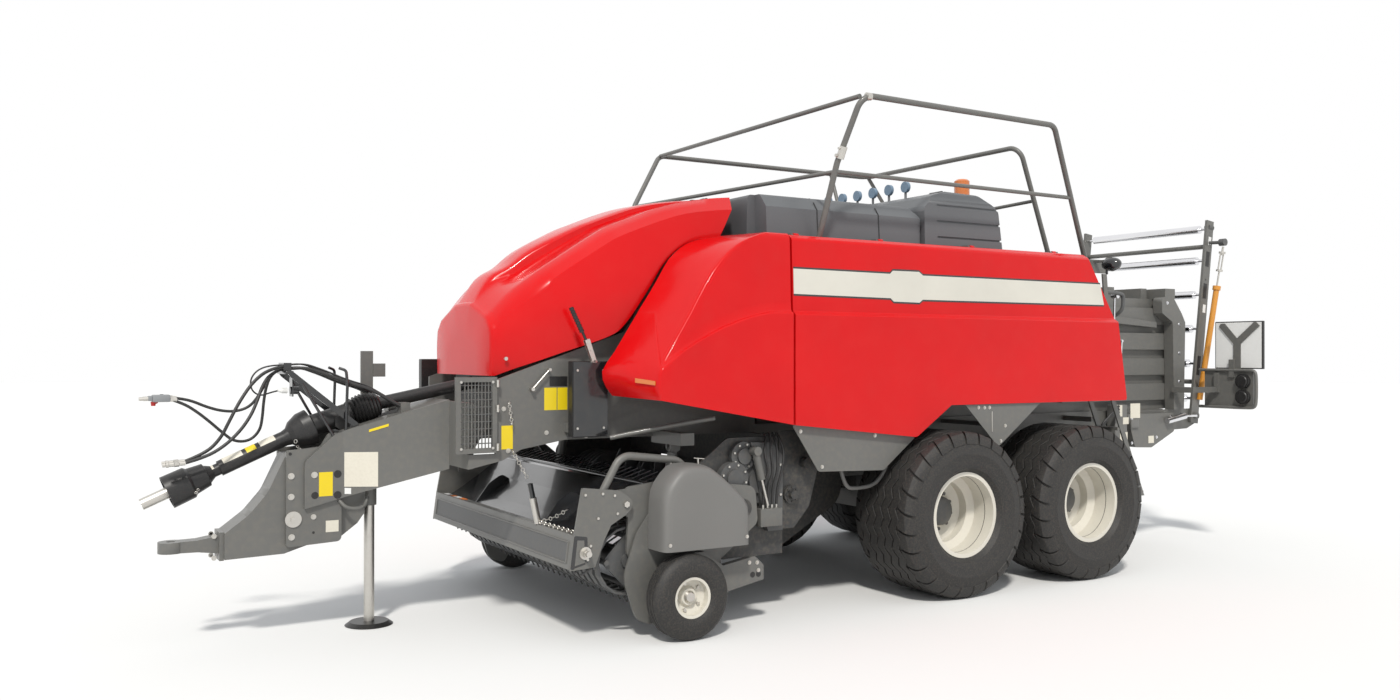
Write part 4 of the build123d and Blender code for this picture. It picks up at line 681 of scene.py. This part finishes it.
plate(bm, ((-1.19, 0.508), (1.19, 0.508), (1.19, 0.618), (-1.19, 0.618)), on_beam_face, (0.0007, 0, 0.0001))
piece("wind_guard_recess", bm, dark_grey, "wind_guard", 25)
corners = [on_beam_face(y, z) for y, z in ((-1.196, 0.502), (1.196, 0.502), (1.196, 0.624), (-1.196, 0.624))]
BEAD = 0.0065
for n in range(4):
    rod(bm, corners[n], corners[(n + 1) % 4], BEAD, segments=16)
    bmesh.ops.create_uvsphere(bm, u_segments=16, v_segments=8, radius=BEAD, matrix=Matrix.Translation(corners[n]))
piece("wind_guard_bead", bm, grey, "wind_guard")
for x, z in ((2.915, 0.905), (2.8, 0.905), (2.72, 0.89), (2.88, 0.6), (2.9, 0.52), (2.7, 0.78),
             (2.83, 0.76)):
    pegs(bm, (x, z, 1.26, 1.269, 0.009, 6))
pegs(bm, (2.64, 0.832, 1.258, 1.276, 0.02, 6), (2.915, 0.56, 1.258, 1.3, 0.026, 6),
     (2.915, 0.56, 1.3, 1.322, 0.018), (2.915, 0.56, 1.261, 1.27, 0.038))
rod(bm, (2.975, 0.7, 0.672), (3.01, 0.7, 0.835), 0.022)
chain(bm, (2.972, 0.72, 0.682), (2.925, 1.12, 0.668), 0, 0.012)
chain(bm, (2.96, 0.74, 0.69), (2.86, 0.9, 0.775), 0.01, 0.011)
piece("wind_guard_fittings", bm, zinc, "wind_guard")
orange = finish("orange_label", (0.75, 0.19, 0.02), 0.4, dusty=0.03)
for n, (y, mat) in enumerate(((-1.15, white), (-1.01, orange), (-0.81, orange), (-0.93, white))):
    box(bm, (2.925, y, 0.6605), (2.962, y + 0.085, 0.6665))
    piece(f"wind_guard_label_{n + 1}", bm, mat, "wind_guard")

# Pickup drive shields: rounded covers of moulded grey plastic, open underneath, held by a clip at the front.
# The pickup's bolts and the dark slots of the gauge wheels' arms stand below them.
plastic = finish("moulded_grey_plastic", (0.155, 0.153, 0.147), 0.48, dusty=0.08, grain=220, relief=0.0003)
SHIELD = ((1.85, 0.548), (1.85, 0.64), (1.85, 0.74), (1.858, 0.8), (1.89, 0.85), (1.95, 0.908),
          (2.05, 0.99), (2.12, 1.04), (2.165, 1.06), (2.23, 1.066), (2.3, 1.064), (2.35, 1.05),
          (2.395, 1.01), (2.44, 0.955), (2.465, 0.905), (2.474, 0.84), (2.478, 0.74), (2.48, 0.64),
          (2.48, 0.548))
SHIELD_X, SHIELD_FOOT = 2.165, 0.548
# Columns: y, size of the outline there
skin(bm, [[(SHIELD_X + (x - SHIELD_X) * grown, y, SHIELD_FOOT + (z - SHIELD_FOOT) * grown) for x, z in SHIELD]
          for y, grown in ((1.244, 1.0), (1.3, 1.0), (1.37, 0.997), (1.405, 0.99), (1.428, 0.972),
                           (1.442, 0.945), (1.45, 0.905), (1.4545, 0.8), (1.4555, 0.4), (1.456, 0.002))])
shell(bm, (SHIELD_X, 1.3, 0.7), 0.006)
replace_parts(pair("pickup_shield", bm, plastic, "pickup", "plastic", 50), "pickup_shields")
bolts(bm, ((2.44, 0.59), (1.885, 0.6)), 1.4525, 0.008, 0.006)
for n in range(5):
    x, z = 2.3 - 0.02 * n, 1.045 - 0.001 * n
    for out in (1, -1):
        rod(bm, (x, out * 1.216, z + 0.01), (x, out * 1.216, z + 0.02), 0.006, segments=6)
for out in (1, -1):
    rod(bm, (2.13, out * 1.262, 1.04), (2.13, out * 1.262, 1.085), 0.006)
    rod(bm, (2.085, out * 1.262, 1.082), (2.16, out * 1.262, 1.09), 0.004)
bolts(bm, ((1.7, 0.395), (1.69, 0.345), (1.76, 0.4)), 1.292)
piece("pickup_bolts", bm, zinc, "pickup")
pegs(bm, (1.69, 0.32, 1.29, 1.2932, 0.019), (1.735, 0.32, 1.29, 1.2932, 0.019))
piece("gauge_arm_slots", bm, black_plastic, "pickup")

# Drive side: the feeder's chain case with its bolted bearing discs, a pickup lift linkage with its cylinder, a
# valve block and clipped black hoses, all in dark paint behind the pickup's shields. The same on both sides.
DISCS = ((1.69, 1.07, 0.095, 1.12), (1.772, 0.925, 0.11, 1.132), (1.56, 0.9, 0.15, 1.1))
for x, z, radius, y in DISCS:
    peg(bm, x, z, 1.08, y, radius, 48)
    peg(bm, x, z, y, y + 0.018, radius * 0.55, 32)
plate(bm, ((1.38, 0.56), (1.38, 1.06), (1.47, 1.15), (1.64, 1.16), (1.56, 0.78), (1.5, 0.56)),
      lambda x, z: (x, 1.083, z), (0, 0.045, 0))
pair("chain_case", bm, dark_grey, sharp=30)


def bolt_ring(bm, x, z, ring, y, y_end, start, radius):
    """Eight hexagon heads round a bearing's disc."""
    for n in range(8):
        angle = n * pi / 4 + start
        peg(bm, x + ring * cos(angle), z + ring * sin(angle), y, y_end, radius, 6)


for (x, z, _, y), ring in zip(DISCS, (0.078, 0.092)):
    bolt_ring(bm, x, z, ring, y, y + 0.009, 0.3, 0.008)
for x, z in ((1.4, 0.62), (1.4, 0.8), (1.4, 1.0), (1.48, 1.12), (1.6, 1.12)):
    peg(bm, x, z, 1.128, 1.136, 0.009, 6)
rod(bm, (1.59, 1.175, 0.93), (1.536, 1.175, 0.74), 0.011)
pair("chain_case_bolts", bm, zinc, slot="steel")
rod(bm, (1.632, 1.175, 1.1), (1.585, 1.175, 0.915), 0.026)
peg(bm, 1.632, 1.105, 1.14, 1.205, 0.03)
box(bm, (1.425, 1.128, 0.6), (1.6, 1.19, 0.72), 0.006)
pair("lift_linkage", bm, grey, sharp=30)
PORTS = [1.455 + 0.036 * n for n in range(4)]
for x in PORTS:
    rod(bm, (x, 1.16, 0.718), (x, 1.16, 0.745), 0.009, segments=6)
pair("valve_ports", bm, zinc, slot="steel")
for side, out in SIDES:
    for n, x in enumerate(PORTS):
        sweep(f"feeder_hose_{side}_{n + 1}", [
            (x, out * 1.16, 0.742), (x + 0.004, out * 1.165, 0.83 + 0.02 * n),
            (x - 0.03, out * (1.18 + 0.004 * n), 0.96), (x - 0.06 + 0.02 * n, out * 1.17, 1.09),
            (x - 0.04, out * 1.14, 1.18), (x - 0.04, out * 1.1, 1.215)], 0.0085, hose_rubber)
sweep("feeder_step_left", [(x, 1.15, z) for x, z in (
    (0.905, 0.96), (0.885, 0.885), (0.845, 0.815), (0.783, 0.805), (0.7, 0.808), (0.638, 0.813),
    (0.56, 0.845), (0.482, 0.94))], 0.014, plastic)

# Feeder's rear: sheet guards behind the chain case in the near black that is partly painted shade, each with a
# bearing's stepped cap in a ring of eight bolts and a smaller cap above it.
plate(bm, ((1.385, 0.56), (1.385, 1.22), (1.09, 1.24), (1.06, 0.94), (1.13, 0.7), (1.26, 0.56)),
      lambda x, z: (x, 1.078, z), (0, 0.012, 0))
for x, z, radius in ((1.293, 0.791, 0.062), (1.293, 0.791, 0.03), (1.18, 1.0, 0.035)):
    peg(bm, x, z, 1.088, 1.178 - radius, radius, 32)
bolt_ring(bm, 1.293, 0.791, 0.048, 1.11, 1.124, 0, 0.007)
pair("feeder_guard", bm, near_black_shade, sharp=30)

# Parking jack's foot: a black painted disc under the galvanised leg, pressed from steel sheet and a little
# domed. It goes up with the leg.
dress(zinc, "jack_leg")
rod(bm, (3.85, 0, 0.0003), (3.85, 0, 0.0228), 0.1514, 0.121, segments=64)
piece("jack_foot_paint", bm, black_plastic, "jack_leg")

# Drive shaft guard: black plastic tubes, which slide apart, over the zinc yoke, with blank labels wrapped part
# of the way round them.
dress(black_plastic, "guard_outer", "guard_inner", "drive_shaft")
dress(zinc, "shaft_yoke")
SHAFT_START = Vector((4.24, 0, 1.277))
SHAFT_ALONG = Vector((0.9135, 0, -0.4067)).normalized()
LABEL_SIDE = SHAFT_ALONG.cross((0, 1, 0)) * 0.45 + Vector((0, 0.893, 0))
# Columns: finish, body, where it starts and ends along the shaft, radius
for n, (mat, body, start, end, radius) in enumerate((
        (label, "pto_outer", 0.203, 0.3, 0.0485), (yellow, "pto_outer", 0.325, 0.385, 0.0485),
        (label, "pto_outer", 0.41, 0.53, 0.0485), (label, "pto_inner", 0.59, 0.64, 0.0375))):
    ends = [bm.verts.new(SHAFT_START + SHAFT_ALONG * along + LABEL_SIDE * radius) for along in (start, end)]
    bmesh.ops.spin(bm, geom=ends + [bm.edges.new(ends)], cent=SHAFT_START, axis=SHAFT_ALONG, dvec=(0, 0, 0),
                   angle=radians(100), steps=12, use_merge=False)
    bmesh.ops.solidify(bm, geom=bm.faces[:], thickness=0.001)
    piece(f"guard_label_{n + 1}", bm, mat, body)

# Module noses: an amber plastic reflector let into the underside of each front module, flush with its sheet
# and slanting with it.
amber = finish("amber_lens", (0.62, 0.16, 0.02), 0.18, coat=0.8, dusty=0.02)
plate(bm, ((0, 1.566), (1, 1.552), (1, 1.578), (0, 1.594)), lambda t, z: (2.503 - 0.056 * t, 1.13 + 0.155 * t, z),
      (0.008, 0.003, 0))
pair("nose_reflector", bm, amber)

# Plate fittings beside the wheels: zinc bolt heads and a bent steel wire on the plates that hang from the
# doors.
bolts(bm, ((-0.263, 1.352), (-0.324, 1.35), (-0.375, 1.35), (-0.539, 1.21), (-0.493, 1.098)), 1.304)
bolts(bm, ((1.34, 1.23), (0.7, 1.18), (1.16, 0.985)), 1.276)
for out in (1, -1):
    rod(bm, (-0.4, out * 1.306, 1.32), (-0.4, out * 1.306, 1.17), 0.004, segments=8)
piece("side_plate_bolts", bm, zinc)

# Top of the machine: the moulded tank and cover, seams and a yellow label on the front cover, six blue-grey
# signal discs, a black fin and an amber beacon behind the tank.
tank_plastic = finish("tank_plastic", (0.105, 0.112, 0.12), 0.42, dusty=0.08, grain=160, relief=0.0002)
dress(tank_plastic, "tank", "top_cover")
soften(0.012, "top_cover", "tank")
disc_paint = finish("signal_disc", (0.16, 0.24, 0.33), 0.35, dusty=0.05)
for n in range(6):
    y = -0.5 + 0.2 * n
    rod(bm, (-0.284, y, 3.078), (-0.256, y, 3.078), 0.0435, segments=32)
piece("signal_discs", bm, disc_paint)
rod(bm, (-0.98, 0.4, 3.036), (-0.98, 0.4, 3.194), 0.0645, segments=40)
rod(bm, (-0.98, 0.4, 3.194), (-0.98, 0.4, 3.208), 0.0645, 0.046, segments=40)
piece("beacon_lens", bm, amber)
plate(bm, ((-0.52, 2.975), (-0.72, 2.96), (-0.715, 3.04), (-0.665, 3.078), (-0.62, 3.07)),
      lambda x, z: (x, 0.4, z), (0, 0.1, 0))
piece("tank_fin", bm, black_plastic)
plate(bm, ((0.56, 0.7), (0.48, 0.7), (0.4, 0.88), (0.48, 0.88)), lambda x, y: (x, y, 2.8515), (0, 0, 0.0015))
piece("cover_label", bm, yellow)
for x in (0.42, 0.98):
    for out in (1, -1):
        plate(bm, ((1.0005, 2.52), (0.986, 2.758), (0.945, 2.815), (0.947, 2.817), (0.988, 2.76), (1.0025, 2.52)),
              lambda y, z: (x, out * y, z), (0.008, 0, 0))
    box(bm, (x, -0.9, 2.85), (x + 0.008, 0.9, 2.8515))
piece("cover_seams", bm, black_plastic)

# Hand rail fittings: a pinned folding joint and a clamp on the front left post, both in zinc, each with a
# bolt or pin through it.
rod(bm, (0.978, 1.238, 3.085), (0.97, 1.27, 3.165), 0.027)
rod(bm, (0.945, 1.236, 3.105), (1.015, 1.236, 3.105), 0.013, segments=6)
rod(bm, (0.95, 1.262, 3.15), (1.012, 1.262, 3.15), 0.008)
rod(bm, (0.84, 1.398, 3.495), (0.88, 1.398, 3.495), 0.0255)
rod(bm, (0.86, 1.398, 3.467), (0.86, 1.398, 3.52), 0.008, segments=6)
piece("rail_fittings", bm, zinc)

# Work lamp at the rear corner of the deck: a black oval housing of moulded plastic that stands on a round
# bracket.
bmesh.ops.create_uvsphere(bm, u_segments=32, v_segments=16, radius=1, matrix=(
    Matrix.Translation((-1.862, 1.205, 2.484)) @ Matrix.Rotation(radians(12), 4, "Y")
    @ Matrix.Diagonal((0.062, 0.088, 0.056, 1))))
rod(bm, (-1.835, 1.18, 2.45), (-1.835, 1.18, 2.4), 0.01)
piece("work_lamp", bm, black, sharp=60)

# Rear fittings: chrome gas struts and a bent dark bar behind the doors, black lines with blank white labels
# behind the ladder, a short chrome lever and bolt heads.
sweep("rear_bar", [(-2.01, 1.0, 2.269), (-2.12, 1.0, 2.267), (-2.22, 1.0, 2.262), (-2.262, 1.0, 2.25),
                   (-2.268, 1.0, 2.215), (-2.257, 1.0, 2.12), (-2.25, 0.9, 2.06), (-2.25, 0.7, 2.05)],
      0.017, dark_grey)
rod(bm, (-2.2, 0.965, 2.241), (-2.187, 0.965, 1.884), 0.009)
rod(bm, (-2.29, 0.965, 1.86), (-2.271, 0.965, 1.578), 0.009)
for x, z, y, y_end, radius in ((-2.2, 2.241, 0.94, 1.0, 0.02), (-2.29, 1.86, 0.662, 0.975, 0.012),
                               (-2.271, 1.578, 0.662, 0.975, 0.01), (-2.187, 1.884, 0.662, 0.975, 0.01),
                               (-3.365, 1.183, 0.77, 0.815, 0.024)):
    peg(bm, x, z, y, y_end, radius)
rod(bm, (-3.107, 0.81, 1.143), (-3.365, 0.81, 1.183), 0.027)
rod(bm, (-3.365, 0.8, 1.183), (-3.56, 0.79, 1.178), 0.01)
bolts(bm, ((-2.66, 1.17), (-2.66, 0.96), (-3.2, 1.18), (-3.0, 1.0)), 0.78)
bolts(bm, ((-3.35, 2.02), (-3.35, 1.76), (-3.35, 1.5), (-3.18, 2.215)), 0.76, 0.01, 0.009)
piece("rear_steel_fittings", bm, chrome)
for x, z, x_end, z_end in ((-2.53, 1.2, -2.45, 1.3), (-2.77, 1.18, -2.64, 1.31),
                           (-2.6, 0.975, -2.5, 1.06), (-2.96, 0.95, -2.885, 1.015),
                           (-2.615, 1.13, -2.54, 1.19)):
    box(bm, (x, 0.7805, z), (x_end, 0.7825, z_end))
piece("rear_labels", bm, label)
box(bm, (-2.6, 0.69, 0.965), (-2.44, 0.78, 1.3), 0.006)
box(bm, (-2.735, 0.78, 1.096), (-2.631, 0.8, 1.17), 0.004)
piece("rear_terminal_box", bm, plastic)
for n in range(3):
    sweep(f"rear_line_{n + 1}", [
        (-2.47, 0.782, 1.285 - 0.02 * n), (-2.44, 0.83, 1.3 - 0.03 * n), (-2.36, 0.835, 1.255 - 0.02 * n),
        (-2.29, 0.82, 1.2), (-2.262 + 0.02 * n, 0.8, 1.12), (-2.27 + 0.02 * n, 0.76, 1.06)],
        0.01, hose_rubber)

# Bale chute fittings, which fold with it: dark slots and blank labels on its arms, and on the left the hook,
# turnbuckle and orange stay that hold it up.
CHUTE_PIVOT, CHUTE_LEAN, ARM_Y = (-3.64, 1.175), radians(97.7), 0.72


def on_chute(along, out, y):
    """A point on the chute: along its arms from the pivot, and out to the rear."""
    x, z = CHUTE_PIVOT
    return Vector((x + along * cos(CHUTE_LEAN) + out * sin(CHUTE_LEAN), y,
                   z + along * sin(CHUTE_LEAN) - out * cos(CHUTE_LEAN)))


for name, mat, lift, fields in (
        ("chute_slots", black_plastic, 0.001, ((1.411, 1.554, -0.015, 0.035), (1.106, 1.249, -0.015, 0.035),
                                               (0.38, 0.56, -0.015, 0.035), (1.278, 1.292, 0.005, 0.019))),
        ("chute_labels", white, 0.0015, ((1.621, 1.697, -0.02, 0.02), (0.973, 1.049, -0.02, 0.02)))):
    for a, b, near, far in fields:
        for side in (1, -1):
            plate(bm, ((a, near), (b, near), (b, far), (a, far)),
                  lambda along, out: on_chute(along, out, side * ARM_Y), (0, side * lift, 0))
    piece(name, bm, mat, "chute")
rod(bm, on_chute(1.64, 0.005, 0.705), on_chute(1.64, -0.02, 0.835), 0.016)
rod(bm, on_chute(1.64, -0.022, 0.815), on_chute(1.64, -0.022, 0.87), 0.034)
rod(bm, on_chute(1.79, 0.03, 0.7), on_chute(1.79, -0.04, 0.7), 0.03)
piece("chute_hook", bm, dark_grey, "chute")
top, low = on_chute(1.6, -0.03, 0.845), on_chute(1.23, -0.05, 0.8)
for shift in (-0.022, 0.022):
    rod(bm, top.lerp(low, 0.15) + Vector((shift, 0, 0)), top.lerp(low, 0.62) + Vector((shift, 0, 0)), 0.007)
rod(bm, top, top.lerp(low, 0.22), 0.01)
rod(bm, top.lerp(low, 0.13), top.lerp(low, 0.18), 0.03)
rod(bm, top.lerp(low, 0.58), top.lerp(low, 0.63), 0.03)
rod(bm, top.lerp(low, 0.6), low, 0.008)
piece("chute_turnbuckle", bm, zinc, "chute")
stay_paint = finish("orange_paint", (0.62, 0.26, 0.03), 0.38, coat=0.2, dusty=0.06)
foot = on_chute(0.15, -0.012, 0.745)
rod(bm, low, foot, 0.026)
rod(bm, low, low.lerp(foot, 0.035), 0.036)
piece("chute_stay", bm, stay_paint, "chute")

# Rear boards: white marker boards with a dark rim on Y-shaped brackets, and light boards that carry two round
# lamps each, black in front and red behind, inside a guard of bent tube.
box(bm, (-3.6435, 0.946, 1.616), (-3.6115, 1.409, 2.044), 0.004)
pair("marker_rim", bm, black_plastic, slot="black")
box(bm, (-3.6455, 0.956, 1.626), (-3.6095, 1.399, 2.034))
pair("marker_board", bm, white, slot="cream")
plate(bm, ((1.134, 1.6), (1.204, 1.6), (1.204, 1.843), (1.386, 2.002), (1.35, 2.036), (1.336, 2.036),
           (1.169, 1.89), (1.048, 2.026), (1.012, 2.026), (0.992, 2.0), (1.134, 1.843)),
      lambda y, z: (-3.6095, y, z), (0.01, 0, 0))
pair("marker_bracket", bm, grey)
for side, out in SIDES:
    sweep("light_guard_" + side, [(-3.592, out * y, z) for y, z in (
        (0.8, 1.604), (1.0, 1.604), (1.29, 1.604), (1.35, 1.6), (1.362, 1.54), (1.362, 1.34),
        (1.35, 1.276), (1.29, 1.268), (1.0, 1.268), (0.8, 1.268))], 0.014, grey)
LAMPS_Z = (1.366, 1.506)
for z in LAMPS_Z:
    rod(bm, (-3.598, 1.24, z), (-3.56, 1.24, z), 0.064, segments=40)
    rod(bm, (-3.56, 1.24, z), (-3.552, 1.24, z), 0.052, 0.046, segments=40)
pair("lamp_backs", bm, black_plastic, slot="black")
for z in LAMPS_Z:
    rod(bm, (-3.6665, 1.24, z), (-3.64, 1.24, z), 0.061, segments=40)
pair("lamp_lenses", bm, red_cap, slot="red")

# Studio: a pale floor, one broad key light, a soft fill and a white sky; the camera stands ahead of the
# baler on its left, at a standing person's eye height.
bmesh.ops.create_circle(bm, cap_ends=True, segments=96, radius=70)
mesh = bpy.data.meshes.new("studio_floor")
bm.to_mesh(mesh)
bm.free()
floor = bpy.data.objects.new("studio_floor", mesh)
floor.location.z = -0.002
scene.collection.objects.link(floor)
floor_mat = bpy.data.materials.new("pale_floor")
floor_mat.use_nodes = True
fill(floor_mat.node_tree.nodes["Principled BSDF"], Base_Color=(0.8, 0.8, 0.79, 1), Roughness=0.9,
     Specular_IOR_Level=0.1)
mesh.materials.append(floor_mat)

world = bpy.data.worlds.new("white_studio")
scene.world = world
world.use_nodes = True
new = world.node_tree.nodes.new
world.node_tree.nodes.clear()
sky_out, ray, choose = new("ShaderNodeOutputWorld"), new("ShaderNodeLightPath"), new("ShaderNodeMixShader")
seen = fill(new("ShaderNodeBackground"), Color=(1, 1, 1, 1), Strength=1.0)
lit = fill(new("ShaderNodeBackground"), Color=(0.93, 0.96, 1.0, 1), Strength=0.75)
either, any_ray = new("ShaderNodeMath"), new("ShaderNodeMath")
either.operation = any_ray.operation = "MAXIMUM"
link(world.node_tree, (ray, "Is Camera Ray", either, 0), (ray, "Is Glossy Ray", either, 1), (either, 0, any_ray, 0),
     (ray, "Is Transmission Ray", any_ray, 1), (any_ray, 0, choose, "Fac"), (lit, 0, choose, 1),
     (seen, 0, choose, 2), (choose, 0, sky_out, "Surface"))

key = bpy.data.lights.new("sun_key", "SUN")
key.energy = 2.6
key.angle = radians(6)
key.color = (1.0, 0.97, 0.92)
sun = bpy.data.objects.new("sun_key", key)
sun.rotation_euler = Vector((-0.45, -0.62, -0.85)).to_track_quat("-Z", "Y").to_euler()
scene.collection.objects.link(sun)

lens = bpy.data.cameras.new("photo_camera")
lens.sensor_width = 36
lens.lens = 29.27
lens.clip_end = 300
camera = bpy.data.objects.new("photo_camera", lens)
look = Vector((-0.521, -0.8536, 0.0039))
camera.matrix_world = (Matrix.Translation((5.26, 7.396, 1.742)) @ look.to_track_quat("-Z", "Y").to_matrix().to_4x4()
                       @ Matrix.Rotation(radians(0.045), 4, "Z"))
scene.collection.objects.link(camera)
scene.camera = camera
